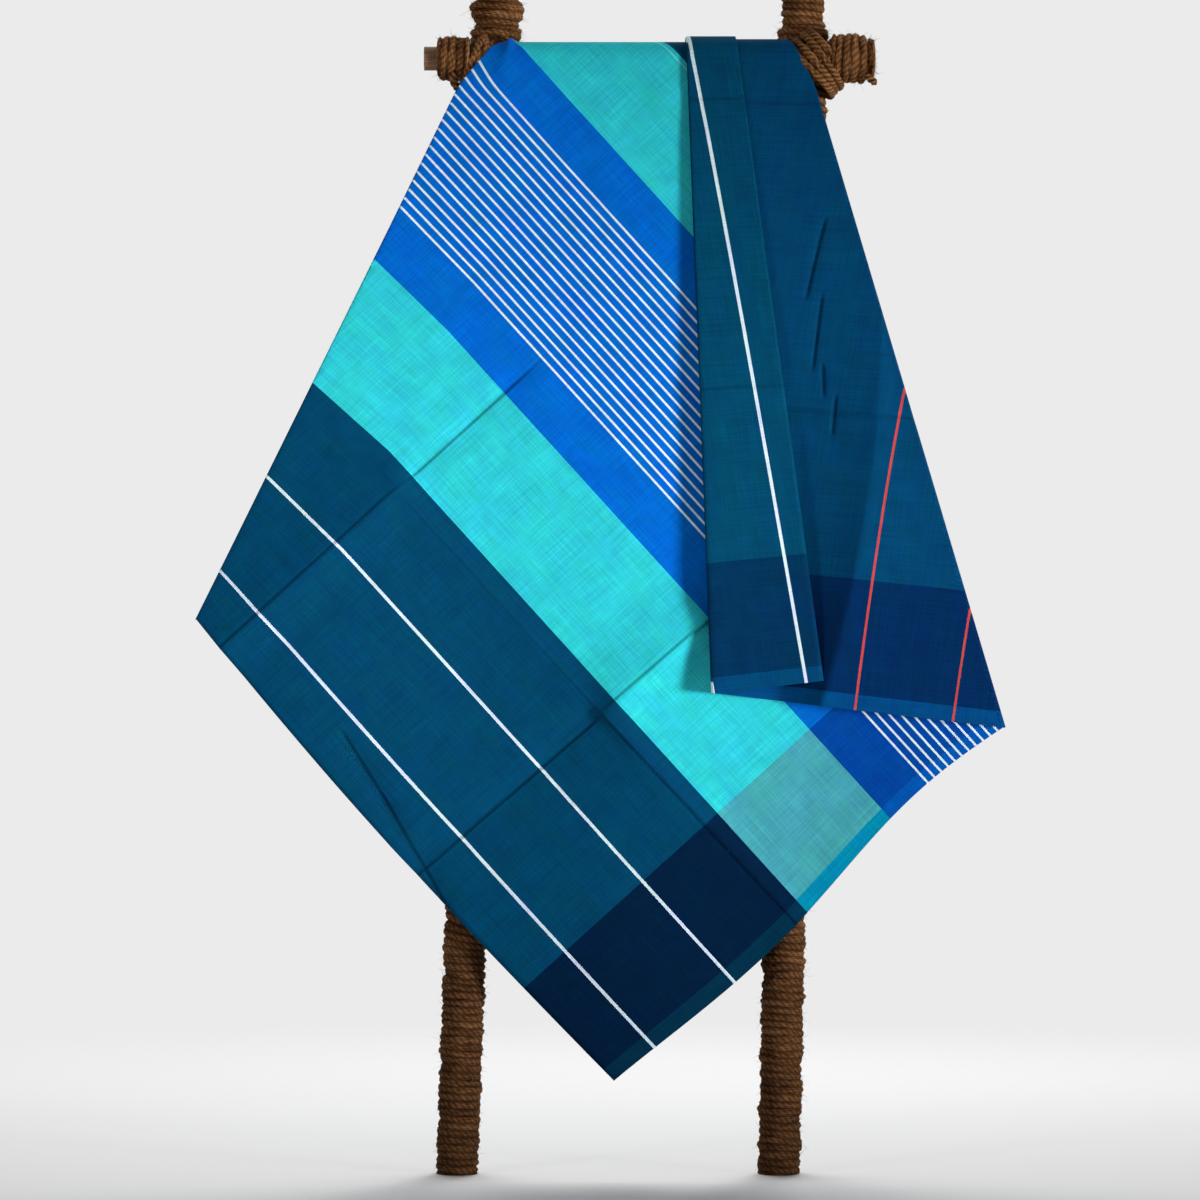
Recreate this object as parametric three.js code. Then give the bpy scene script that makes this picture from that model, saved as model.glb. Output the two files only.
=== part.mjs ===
// A tubular sarong, folded on the slant and hung over the rung of a rope-wound rack.
// Millimetres, +Z up, the front faces -Y, the origin is under the middle of the whole thing on the floor.
import * as THREE from "three";

// Rack: two leaning poles, a rung across their fronts and rope lashed round each crossing.
const POLE_RADIUS = 22;
const POLE_HEIGHT = 1276;
const POLE_LEAN_BACK_DEG = 0.7;
const POLES = [
  { side: "left", footX: -150, leanSideDeg: 1.95, ringFrom: -171, ringTo: -135, ringRadius: 23 },
  { side: "right", footX: 189, leanSideDeg: 1.22, ringFrom: 242, ringTo: 281, ringRadius: 25 },
];
const RUNG_RADIUS = 12.5;
const RUNG_HEIGHT = 1172;
const RUNG_FROM_X = -184;
const RUNG_TO_X = 287;
const PIECE_GAP = 0.3;
const BAND_RADIUS = 26.5;
const BANDS = [
  { place: "above", fromRung: 14, length: 22 },
  { place: "below", fromRung: -64, length: 50 },
];

// Cloth laid flat: u runs up the stripes from the near hem, v runs along that hem from the near edge.
const CLOTH_THICKNESS = 1.2;
const CLOTH_LENGTH = 1139;
const CLOTH_WIDTH = 971;
const FAR_EDGE_SLANT = 0.035;
const LOW_CORNER = { x: 15, z: 103 };
const HEM_RISE_DEG = 42.2;

// Folds, each a straight line on the flat cloth from its foot to where it reaches the rung.
const LEFT_FOLD = { foot: [648, 0], head: [898, 633] };
const RIGHT_FOLD = { foot: [0, 548], head: [675, 874] };
const PLEAT_FOLD = { foot: [0, 857], head: [683, 953] };

// Where the pleat's fold and the cloth's far edge hang, foot and head, as [x, z] seen from the front.
const PLEAT_FOLD_HANGS = { foot: [118, 507], head: [92, 1196] };
const PLEAT_EDGE_HANGS = { foot: [233, 520], head: [142, 1195] };

// Layers from the back one to the front one, and how far each has swung forward at the foot of its fold.
const CLOTH_TO_RUNG = 0.8;
const LAYER_PITCH = 3;
const LAYERS = {
  back: { order: 0, swing: 0 },
  main: { order: 1, swing: 5 },
  flap: { order: 2, swing: 15 },
  pleat: { order: 3, swing: 27 },
};
const SWING_LENGTH = 690;

// The flap stands out in a soft ridge that starts on the right fold and runs down to the hem.
const RIDGE = { forward: 10, acrossAtHem: 0.63, startShare: 0.65 };

// The cloth is drawn together sideways where it passes between the poles, behind the rung.
const GATHER = { fromHeight: -80, toHeight: 110, wide: [-119, 210], narrow: [-80, 184] };

// The left fold rides forward over the lashing.
const LASHING_RIDE = { forward: 12, fromX: -20, fullX: -132, fromHeight: -200, fullHeight: -26, toHeight: 26 };

// Long soft waves in the hanging cloth, and the hems that stray from straight lines.
const WAVE = { depth: 8, length: 340, phase: 0.9 };
const HEM_STRAY = { size: 10, skew: 1.3, fade: 130 };
const EDGE_STRAY = { size: 9, fade: 130 };

// Facets.
const ROUND_SIDES = 28;
const FOLD_STEPS = 4;
const ROWS = { front: 16, overRung: 10, behind: 6 };
const COLUMNS = { back: 8, edge: 8, hem: 6, flap: 6, pleat: 3 };

const COLOURS = { cloth: "#0b6f8c", rope: "#7a4a26", wood: "#8c6238" };

const radians = THREE.MathUtils.degToRad;
const smooth = THREE.MathUtils.smoothstep;
const mix = (a, b, t) => a.map((value, k) => THREE.MathUtils.lerp(value, b[k], t));
const range = (count) => Array.from({ length: count + 1 }, (_, k) => k / count);

function finish(colour, roughness) {
  return new THREE.MeshStandardMaterial({ color: colour, roughness, metalness: 0 });
}

// Flat cloth to the front view, unrolled: a turn and a shift.
const STRIPE = [-Math.sin(radians(HEM_RISE_DEG)), Math.cos(radians(HEM_RISE_DEG))];
const HEM = [Math.cos(radians(HEM_RISE_DEG)), Math.sin(radians(HEM_RISE_DEG))];

function placeFlat([u, v]) {
  return [LOW_CORNER.x + u * STRIPE[0] + v * HEM[0], LOW_CORNER.z + u * STRIPE[1] + v * HEM[1]];
}

// Front view mirrored in a fold line that runs through two points of that view.
function mirrorIn(foot, head, point) {
  const along = new THREE.Vector2(head[0] - foot[0], head[1] - foot[1]).normalize();
  const from = new THREE.Vector2(point[0] - foot[0], point[1] - foot[1]);
  const mirrored = along.clone().multiplyScalar(2 * from.dot(along)).sub(from);
  return [foot[0] + mirrored.x, foot[1] + mirrored.y];
}

// How far a straight line on the flat cloth runs, as a multiple of foot to head, before the far edge.
function reachOf(foot, head) {
  const rise = (head[1] - foot[1]) - FAR_EDGE_SLANT * (head[0] - foot[0]);
  return (CLOTH_WIDTH + FAR_EDGE_SLANT * foot[0] - foot[1]) / rise;
}

const lineEnd = (foot, head) => mix(foot, head, reachOf(foot, head));

// The main panel's lower outline strays a little from its two straight sides.
function strayed([u, v]) {
  const along = THREE.MathUtils.clamp(v / RIGHT_FOLD.foot[1], 0, 1);
  const hemFade = Math.max(0, 1 - u / HEM_STRAY.fade) ** 2;
  const hem = HEM_STRAY.size * Math.sin(2 * Math.PI * along ** HEM_STRAY.skew) * hemFade;
  const up = THREE.MathUtils.clamp(u / LEFT_FOLD.foot[0], 0, 1);
  const edgeFade = Math.max(0, 1 - v / EDGE_STRAY.fade) ** 2;
  const edge = EDGE_STRAY.size * Math.sin(Math.PI * up) * edgeFade;
  return [u - hem, v - edge];
}

// A column is one line of the cloth from its lower outline over the rung to its far end: the front view
// of its points, a layer order and swing, on a fold the sideways bulge, and how far it stands forward.
function column(layer, pointAt, reach, bulge = [0, 0], forwardAt = () => 0) {
  return { order: layer.order, swing: layer.swing, pointAt, reach, bulge, forwardAt };
}

function panelColumn(layer, foot, end, view) {
  return column(layer, (t) => view(mix(foot, end, t)), 1);
}

// A fold's columns go half round a small cylinder from one layer to the next.
function foldColumns(from, to, outward, pointAt, reach) {
  const turns = range(FOLD_STEPS).slice(1, -1);
  return turns.map((turn) => {
    const share = (1 - Math.cos(Math.PI * turn)) / 2;
    const layer = {
      order: THREE.MathUtils.lerp(from.order, to.order, share),
      swing: THREE.MathUtils.lerp(from.swing, to.swing, share),
    };
    const bulge = outward.map((part) => part * LAYER_PITCH / 2 * Math.sin(Math.PI * turn));
    return column(layer, pointAt, reach, bulge);
  });
}

// A tent across the flap whose top line slants from the hem to the right fold.
function ridgeAt(across) {
  return (share) => {
    const low = 1 - share / RIDGE.startShare;
    if (low <= 0) return 0;
    const top = RIDGE.acrossAtHem * low;
    const tent = across < top ? across / top : (1 - across) / (1 - top);
    return RIDGE.forward * low * smooth(tent, 0, 1);
  };
}

function outwardOf(foot, head, toward) {
  const normal = new THREE.Vector2(head[1] - foot[1], foot[0] - head[0]).normalize();
  return [normal.x * toward, normal.y * toward];
}

function clothColumns() {
  const { back, main, flap, pleat } = LAYERS;
  const mainView = (flat) => placeFlat(strayed(flat));
  const leftEnd = lineEnd(LEFT_FOLD.foot, LEFT_FOLD.head);
  const rightEnd = lineEnd(RIGHT_FOLD.foot, RIGHT_FOLD.head);
  const leftFoot = placeFlat(LEFT_FOLD.foot);
  const leftHead = placeFlat(LEFT_FOLD.head);
  const rightFoot = placeFlat(RIGHT_FOLD.foot);
  const rightHead = placeFlat(RIGHT_FOLD.head);

  // Back layer: from the far hem to the left fold, mirrored behind the main panel.
  const backView = (flat) => mirrorIn(leftFoot, leftHead, placeFlat(flat));
  const farFoot = [CLOTH_LENGTH, 0];
  const farEnd = [CLOTH_LENGTH, CLOTH_WIDTH + FAR_EDGE_SLANT * CLOTH_LENGTH];
  const backColumns = range(COLUMNS.back).map((t) =>
    panelColumn(back, mix(farFoot, LEFT_FOLD.foot, t), mix(farEnd, leftEnd, t), backView));

  const leftView = (t) => mainView(mix(LEFT_FOLD.foot, leftEnd, t));
  const leftColumns = foldColumns(back, main, outwardOf(leftFoot, leftHead, -1), leftView, 1);

  // Main panel: its lower outline is the near edge, then the near hem.
  const corner = [0, 0];
  const lower = [
    ...range(COLUMNS.edge).map((t) => mix(LEFT_FOLD.foot, corner, t)),
    ...range(COLUMNS.hem).slice(1).map((t) => mix(corner, RIGHT_FOLD.foot, t)),
  ];
  const mainColumns = lower.map((foot, k) =>
    panelColumn(main, foot, mix(leftEnd, rightEnd, k / (lower.length - 1)), mainView));

  const rightReach = reachOf(RIGHT_FOLD.foot, RIGHT_FOLD.head);
  const rightView = (t) => mix(rightFoot, rightHead, t);
  const rightColumns =
    foldColumns(main, flap, outwardOf(rightFoot, rightHead, 1), rightView, rightReach);

  // Flap and pleat fan out between the hanging lines of their folds and edge.
  const fan = (layer, footA, headA, footB, headB) => (t) => {
    const foot = mix(footA, footB, t);
    const head = mix(headA, headB, t);
    const forwardAt = layer === flap ? ridgeAt(t) : undefined;
    return column(layer, (s) => mix(foot, head, s), rightReach, undefined, forwardAt);
  };
  const { foot: pleatFoot, head: pleatHead } = PLEAT_FOLD_HANGS;
  const { foot: edgeFoot, head: edgeHead } = PLEAT_EDGE_HANGS;
  const flapColumns = range(COLUMNS.flap).map(fan(flap, rightFoot, rightHead, pleatFoot, pleatHead));
  const pleatView = (t) => mix(pleatFoot, pleatHead, t);
  const pleatFolds = foldColumns(flap, pleat, outwardOf(pleatFoot, pleatHead, -1), pleatView, rightReach);
  const pleatColumns = range(COLUMNS.pleat).map(fan(pleat, pleatFoot, pleatHead, edgeFoot, edgeHead));

  return [
    ...backColumns, ...leftColumns, ...mainColumns, ...rightColumns,
    ...flapColumns, ...pleatFolds, ...pleatColumns,
  ];
}

// Distance of a layer's middle from the rung's axis where it passes over the rung.
function turnRadius(order) {
  return RUNG_RADIUS + CLOTH_TO_RUNG + CLOTH_THICKNESS / 2 + order * LAYER_PITCH;
}

// Cloth length that goes over the rung, taken alike for all layers, so that the folds stay in line.
const TURN_LENGTH = Math.PI * turnRadius(LAYERS.main.order);

// Where each row of a column lies on it: down the front, over the rung and behind.
function rowShares(line) {
  const heightAt = (t) => line.pointAt(t)[1] - RUNG_HEIGHT;
  const shareAt = (height) => {
    let low = 0;
    let high = line.reach;
    for (let step = 0; step < 40; step += 1) {
      const middle = (low + high) / 2;
      if (heightAt(middle) < height) low = middle;
      else high = middle;
    }
    return low;
  };
  const rise = shareAt(0);
  const fall = shareAt(TURN_LENGTH);
  return [
    ...range(ROWS.front).slice(0, -1).map((t) => rise * t),
    ...range(ROWS.overRung).map((t) => THREE.MathUtils.lerp(rise, fall, t)),
    ...range(ROWS.behind).slice(1).map((t) => THREE.MathUtils.lerp(fall, line.reach, t)),
  ];
}

function gathered(x, height) {
  const share = smooth(height, GATHER.fromHeight, GATHER.toHeight);
  const target = THREE.MathUtils.mapLinear(x, ...GATHER.wide, ...GATHER.narrow);
  return THREE.MathUtils.lerp(x, target, share);
}

// How far the cloth stands off the rung's axis: its layer, and on the front its swing, waves and ridge.
function standOff(line, share, x, height) {
  const drop = Math.max(0, -height) / SWING_LENGTH;
  const wave = WAVE.depth * drop * (1 + Math.sin(2 * Math.PI * x / WAVE.length + WAVE.phase)) / 2;
  const ride = LASHING_RIDE.forward * smooth(-x, -LASHING_RIDE.fromX, -LASHING_RIDE.fullX)
    * smooth(height, LASHING_RIDE.fromHeight, LASHING_RIDE.fullHeight)
    * (1 - smooth(height, LASHING_RIDE.fullHeight, LASHING_RIDE.toHeight));
  return turnRadius(line.order) + line.swing * Math.min(drop, 1) + wave + ride + line.forwardAt(share);
}

// Front view to space: down the front, half round the rung and down behind it.
function hang(line, share) {
  const seen = line.pointAt(share);
  const height = seen[1] + line.bulge[1] - RUNG_HEIGHT;
  const x = gathered(seen[0] + line.bulge[0], height);
  const radius = standOff(line, share, x, height);
  if (height > TURN_LENGTH) return new THREE.Vector3(x, radius, RUNG_HEIGHT + TURN_LENGTH - height);
  if (height < 0) return new THREE.Vector3(x, -radius, RUNG_HEIGHT + height);
  const angle = Math.PI * height / TURN_LENGTH;
  return new THREE.Vector3(x, -radius * Math.cos(angle), RUNG_HEIGHT + radius * Math.sin(angle));
}

// A closed sheet: the grid of middle points, thickened both ways along its own normals.
function sheetGeometry(grid, thickness) {
  const columns = grid.length;
  const rows = grid[0].length;
  const at = (c, r) => grid[THREE.MathUtils.clamp(c, 0, columns - 1)][THREE.MathUtils.clamp(r, 0, rows - 1)];
  const index = (c, r, side) => 2 * (c * rows + r) + side;
  const positions = [];
  for (let c = 0; c < columns; c += 1) {
    for (let r = 0; r < rows; r += 1) {
      const across = at(c + 1, r).clone().sub(at(c - 1, r)).normalize();
      const up = at(c, r + 1).clone().sub(at(c, r - 1)).normalize();
      const normal = across.cross(up).normalize().multiplyScalar(thickness / 2);
      positions.push(...at(c, r).clone().add(normal).toArray());
      positions.push(...at(c, r).clone().sub(normal).toArray());
    }
  }
  const triangles = [];
  const quad = (a, b, c, d) => triangles.push(a, b, c, a, c, d);
  for (let c = 0; c + 1 < columns; c += 1) {
    for (let r = 0; r + 1 < rows; r += 1) {
      quad(index(c, r, 0), index(c + 1, r, 0), index(c + 1, r + 1, 0), index(c, r + 1, 0));
      quad(index(c, r, 1), index(c, r + 1, 1), index(c + 1, r + 1, 1), index(c + 1, r, 1));
    }
    const last = rows - 1;
    quad(index(c, 0, 0), index(c, 0, 1), index(c + 1, 0, 1), index(c + 1, 0, 0));
    quad(index(c, last, 0), index(c + 1, last, 0), index(c + 1, last, 1), index(c, last, 1));
  }
  for (let r = 0; r + 1 < rows; r += 1) {
    const last = columns - 1;
    quad(index(0, r, 0), index(0, r + 1, 0), index(0, r + 1, 1), index(0, r, 1));
    quad(index(last, r, 0), index(last, r, 1), index(last, r + 1, 1), index(last, r + 1, 0));
  }
  const geometry = new THREE.BufferGeometry();
  geometry.setAttribute("position", new THREE.Float32BufferAttribute(positions, 3));
  geometry.setIndex(triangles);
  return geometry;
}

function makeSarong() {
  const grid = clothColumns().map((line) => rowShares(line).map((share) => hang(line, share)));
  const mesh = new THREE.Mesh(sheetGeometry(grid, CLOTH_THICKNESS), finish(COLOURS.cloth, 0.85));
  mesh.name = "sarong";
  return mesh;
}

// Poles lean by a shear, so that the feet stay level and every level section stays round.
const POLE_BEHIND_RUNG = RUNG_RADIUS + PIECE_GAP + POLE_RADIUS;

function leaned(geometry, pole) {
  const sideways = Math.tan(radians(pole.leanSideDeg));
  const backward = Math.tan(radians(POLE_LEAN_BACK_DEG));
  geometry.applyMatrix4(new THREE.Matrix4().makeShear(0, 0, 0, 0, sideways, backward));
  return geometry.translate(pole.footX, POLE_BEHIND_RUNG - RUNG_HEIGHT * backward, 0);
}

function uprightCylinder(radius, fromZ, length) {
  const geometry = new THREE.CylinderGeometry(radius, radius, length, ROUND_SIDES);
  return geometry.rotateX(Math.PI / 2).translate(0, 0, fromZ + length / 2);
}

function ringGeometry(innerRadius, outerRadius, length) {
  const round = (outerRadius - innerRadius) * 0.4;
  const profile = [
    [innerRadius, 0], [outerRadius - round, 0], [outerRadius, round], [outerRadius, length - round],
    [outerRadius - round, length], [innerRadius, length], [innerRadius, 0],
  ];
  return new THREE.LatheGeometry(profile.map((point) => new THREE.Vector2(...point)), ROUND_SIDES);
}

function named(name, geometry, material) {
  const mesh = new THREE.Mesh(geometry, material);
  mesh.name = name;
  return mesh;
}

function makeRack() {
  const pieces = [];
  for (const pole of POLES) {
    const body = leaned(uprightCylinder(POLE_RADIUS, 0, POLE_HEIGHT), pole);
    pieces.push(named(`upright_${pole.side}`, body, finish(COLOURS.rope, 0.95)));
    for (const band of BANDS) {
      const ring = ringGeometry(POLE_RADIUS + PIECE_GAP, BAND_RADIUS, band.length);
      ring.rotateX(Math.PI / 2).translate(0, 0, RUNG_HEIGHT + band.fromRung);
      pieces.push(named(`lashing_${pole.side}_${band.place}`, leaned(ring, pole), finish(COLOURS.rope, 0.95)));
    }
    const ring = ringGeometry(RUNG_RADIUS + PIECE_GAP, pole.ringRadius, pole.ringTo - pole.ringFrom);
    ring.rotateZ(-Math.PI / 2).translate(pole.ringFrom, 0, RUNG_HEIGHT);
    pieces.push(named(`lashing_${pole.side}_rung`, ring, finish(COLOURS.rope, 0.95)));
  }
  const rung = new THREE.CylinderGeometry(RUNG_RADIUS, RUNG_RADIUS, RUNG_TO_X - RUNG_FROM_X, ROUND_SIDES);
  rung.rotateZ(Math.PI / 2).translate((RUNG_FROM_X + RUNG_TO_X) / 2, 0, RUNG_HEIGHT);
  pieces.push(named("rung", rung, finish(COLOURS.wood, 0.8)));
  return pieces;
}

// Everything is built about the rung, then moved so that the origin is under the middle of its box.
const whole = new THREE.Group();
whole.add(makeSarong(), ...makeRack());
const middle = new THREE.Box3().setFromObject(whole, true).getCenter(new THREE.Vector3());
whole.position.set(-middle.x, -middle.y, 0);

export default whole;
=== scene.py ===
"""Looks of a striped tube sarong, folded on the slant and hung over the rung of a rope-wound rack.

Metres in Blender, millimetres in the sizes below. +Z is up and the front faces -Y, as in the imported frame.
"""
from __future__ import annotations

import logging
import math
from dataclasses import dataclass, field, fields
from enum import Enum

import bpy
import numpy as np
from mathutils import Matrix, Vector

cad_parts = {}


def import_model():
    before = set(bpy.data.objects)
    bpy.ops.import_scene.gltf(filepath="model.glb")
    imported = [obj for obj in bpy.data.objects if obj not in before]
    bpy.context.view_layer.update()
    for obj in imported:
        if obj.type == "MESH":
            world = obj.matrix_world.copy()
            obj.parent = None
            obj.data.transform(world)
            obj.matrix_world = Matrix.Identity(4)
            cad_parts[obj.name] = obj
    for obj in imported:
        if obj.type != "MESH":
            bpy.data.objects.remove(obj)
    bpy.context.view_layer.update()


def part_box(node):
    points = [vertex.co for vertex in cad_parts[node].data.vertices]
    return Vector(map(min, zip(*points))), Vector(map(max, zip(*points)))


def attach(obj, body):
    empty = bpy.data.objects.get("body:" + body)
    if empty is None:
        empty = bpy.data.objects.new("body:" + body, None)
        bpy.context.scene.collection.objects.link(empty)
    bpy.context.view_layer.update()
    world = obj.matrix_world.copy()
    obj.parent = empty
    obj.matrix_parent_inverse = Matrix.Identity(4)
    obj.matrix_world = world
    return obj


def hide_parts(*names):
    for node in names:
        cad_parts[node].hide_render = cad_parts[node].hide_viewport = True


LOG = logging.getLogger("sarong")
MM = 0.001
METRE = 1000.0
# A wave texture of scale one repeats after this many metres.
WAVE_PERIOD = 0.314
PHASES = (0.0, 6.0)
TINY = 1e-6
SIDEWAYS = (1.0, 0.0, 0.0)
BACKWARD = (0.0, 1.0, 0.0)
UPWARD = (0.0, 0.0, 1.0)
BODY = "root"
SEED = 7
Input = bpy.types.NodeSocket | float | tuple


def linear(colour: str) -> tuple[float, float, float, float]:
    """Turn an sRGB hex colour to linear RGBA: c / 12.92 when dark, else ((c + 0.055) / 1.055)^2.4.

    Args:
        colour: six hex digits after a hash sign.

    Returns:
        Linear red, green and blue, and an alpha of one.
    """
    parts = np.array([int(colour[k:k + 2], 16) for k in (1, 3, 5)]) / 255.0
    low = parts / 12.92
    high = ((parts + 0.055) / 1.055) ** 2.4
    return (*np.where(parts <= 0.04045, low, high).tolist(), 1.0)


def smooth(value: np.ndarray, low: float, high: float) -> np.ndarray:
    """Rise from zero at low to one at high with level ends, the cubic 3t^2 - 2t^3."""
    share = np.clip((value - low) / (high - low), 0.0, 1.0)
    return share * share * (3.0 - 2.0 * share)


def mix(a: np.ndarray, b: np.ndarray, share: np.ndarray) -> np.ndarray:
    """Go straight from a to b as share goes from zero to one."""
    return a + (b - a) * share


def feed(tree: bpy.types.NodeTree, node: bpy.types.Node, inputs: dict) -> None:
    """Link sockets to a node's inputs and set its other inputs as constants.

    Args:
        tree: the node tree.
        node: the node to feed.
        inputs: sockets or constants, by input name or number.
    """
    for place, value in inputs.items():
        if isinstance(value, bpy.types.NodeSocket):
            tree.links.new(value, node.inputs[place])
        else:
            node.inputs[place].default_value = value


def add_node(
    tree: bpy.types.NodeTree, kind: str, inputs: dict | None = None, **settings: str
) -> bpy.types.Node:
    """Add one shader node.

    Args:
        tree: the node tree.
        kind: the node's type name after its ShaderNode prefix.
        inputs: sockets or constants, by input name or number.
        settings: the node's own properties.

    Returns:
        The new node.
    """
    node = tree.nodes.new("ShaderNode" + kind)
    for name, value in settings.items():
        setattr(node, name, value)
    feed(tree, node, inputs or {})
    return node


def calculate(tree: bpy.types.NodeTree, operation: str, *inputs: Input) -> bpy.types.NodeSocket:
    """Work out one sum from sockets and constants in order."""
    return add_node(tree, "Math", dict(enumerate(inputs)), operation=operation).outputs[0]


def blend(tree: bpy.types.NodeTree, factor: Input, first: Input, second: Input) -> bpy.types.NodeSocket:
    """Go from the first colour to the second one as the factor goes from zero to one."""
    inputs = {"Factor": factor, "A": first, "B": second}
    return add_node(tree, "Mix", inputs, data_type="RGBA").outputs["Result"]


def scaled(tree: bpy.types.NodeTree, colour: Input, level: Input) -> bpy.types.NodeSocket:
    """Multiply a colour by a level."""
    return add_node(tree, "VectorMath", {0: colour, "Scale": level}, operation="SCALE").outputs[0]


def remap(
    tree: bpy.types.NodeTree, value: Input, start: tuple, stop: tuple, way: str = "LINEAR"
) -> bpy.types.NodeSocket:
    """Carry a value from one range to another and hold it at their ends.

    Args:
        tree: the node tree.
        value: the value.
        start: the two ends to go from.
        stop: the two ends to go to.
        way: the kind of step between them.

    Returns:
        The result's socket.
    """
    inputs = {
        "Value": value, "From Min": start[0], "From Max": start[1], "To Min": stop[0], "To Max": stop[1],
    }
    return add_node(tree, "MapRange", inputs, interpolation_type=way).outputs["Result"]


def patches(
    tree: bpy.types.NodeTree, where: Input, sizes: tuple, detail: float, roughness: float
) -> bpy.types.NodeSocket:
    """Spread noise over a surface.

    Args:
        tree: the node tree.
        where: coordinates in metres.
        sizes: the patches' size in millimetres along each coordinate.
        detail: how many finer layers it has.
        roughness: how strong these are.

    Returns:
        The noise's socket, about a half on average.
    """
    scale = tuple(1.0 / (size * MM) for size in sizes)
    place = add_node(tree, "Mapping", {"Vector": where, "Scale": scale}).outputs[0]
    inputs = {"Vector": place, "Scale": 1.0, "Detail": detail, "Roughness": roughness}
    return add_node(tree, "TexNoise", inputs).outputs["Fac"]


def ramp(tree: bpy.types.NodeTree, level: Input, *stops: tuple[float, tuple]) -> bpy.types.NodeSocket:
    """Colour a level by stops along it.

    Args:
        tree: the node tree.
        level: the level.
        stops: a position and a colour for the first, the last and, if there is one, the middle stop.

    Returns:
        The colour socket.
    """
    node = add_node(tree, "ValToRGB", {"Fac": level})
    elements = node.color_ramp.elements
    for number, (position, colour) in enumerate(stops):
        element = elements[number] if number < len(elements) else elements.new(position)
        element.position = position
        element.color = colour
    return node.outputs["Color"]


def bump(tree: bpy.types.NodeTree, strength: float, depth: float, inputs: dict) -> bpy.types.NodeSocket:
    """Tilt the normal by a height.

    Args:
        tree: the node tree.
        strength: one for the full tilt.
        depth: how deep a height of one is, in millimetres.
        inputs: the height's socket, and the normal's if it isn't the surface's own.

    Returns:
        The normal socket.
    """
    settings = {"Strength": strength, "Distance": depth * MM}
    return add_node(tree, "Bump", {**settings, **inputs}).outputs["Normal"]


def new_material(name: str) -> tuple[bpy.types.Material, bpy.types.NodeTree, bpy.types.Node]:
    """Start a material with a Principled shader.

    Args:
        name: the finish's plain name.

    Returns:
        The material, its node tree and its Principled node.
    """
    material = bpy.data.materials.new(name)
    material.use_nodes = True
    tree = material.node_tree
    return material, tree, tree.nodes["Principled BSDF"]


def mesh_object(
    name: str,
    points: np.ndarray,
    faces: np.ndarray,
    uv: np.ndarray | None = None,
    attributes: dict[str, np.ndarray] | None = None,
) -> bpy.types.Object:
    """Put whole arrays into one mesh object that rides on the part's body.

    Args:
        name: the piece's name.
        points: vertices in metres, one row each.
        faces: vertex numbers, one quad a row.
        uv: two surface coordinates for each face corner.
        attributes: named numbers for each vertex.

    Returns:
        The new object.
    """
    mesh = bpy.data.meshes.new(name)
    mesh.vertices.add(len(points))
    mesh.vertices.foreach_set("co", points.astype(np.float32).ravel())
    mesh.loops.add(faces.size)
    mesh.loops.foreach_set("vertex_index", faces.astype(np.int32).ravel())
    mesh.polygons.add(len(faces))
    mesh.polygons.foreach_set("loop_start", np.arange(0, faces.size, faces.shape[1], dtype=np.int32))
    mesh.polygons.foreach_set("use_smooth", np.ones(len(faces), dtype=bool))
    mesh.update(calc_edges=True)
    if uv is not None:
        layer = mesh.uv_layers.new(name="flat")
        layer.data.foreach_set("uv", uv.astype(np.float32).ravel())
    for title, values in (attributes or {}).items():
        layer = mesh.attributes.new(title, "FLOAT", "POINT")
        layer.data.foreach_set("value", values.astype(np.float32).ravel())
    piece = bpy.data.objects.new(name, mesh)
    bpy.context.scene.collection.objects.link(piece)
    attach(piece, BODY)
    return piece


def grid_faces(columns: int, rows: int, start: int = 0) -> np.ndarray:
    """Number the quads of a grid of points stored column by column.

    Args:
        columns: points across.
        rows: points along each column.
        start: the first point's number.

    Returns:
        One quad a row, turning from across to along.
    """
    first = start + (np.arange(columns - 1)[:, None] * rows + np.arange(rows - 1)[None, :]).ravel()
    return np.stack([first, first + rows, first + rows + 1, first + 1], axis=1)


def cap_fan(hub: int, base: int, sides: int, turned: bool) -> np.ndarray:
    """Close a ring of points with quads that meet in its hub.

    Args:
        hub: number of the point in the middle.
        base: number of the ring's first point.
        sides: how many points the ring has, an even number.
        turned: whether the quads turn the other way.

    Returns:
        One quad a row.
    """
    pairs = np.arange(0, sides, 2)
    middle = np.full(len(pairs), hub)
    fan = np.stack([middle, base + pairs, base + pairs + 1, base + (pairs + 2) % sides], axis=1)
    return fan[:, ::-1] if turned else fan


def box_mm(node: str) -> np.ndarray:
    """Lower and upper corner of one of the frame's nodes, in millimetres."""
    return np.array(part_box(node)) / MM


def report(piece: bpy.types.Object) -> None:
    """Log how many faces a piece has."""
    LOG.info("%s: %d faces", piece.name, len(piece.data.polygons))


class Panel(Enum):
    """The layers of the folded cloth, from the back one to the front one, by how many lie beneath."""

    BACK = 0
    MAIN = 1
    FLAP = 2
    PLEAT = 3


@dataclass(frozen=True)
class Band:
    """One woven stripe or field: where it starts, and its colour in the body, the border and the hem."""

    start: float
    body: str
    border: str
    hem: str


@dataclass(frozen=True)
class Line:
    """One single thin stripe along the cloth: its middle, its width and its colour."""

    middle: float
    width: float
    colour: str


@dataclass(frozen=True)
class PinStripes:
    """A run of even thin stripes: the first and last middles, their spacing, width and colour."""

    first: float
    last: float
    spacing: float
    width: float
    colour: str


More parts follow.
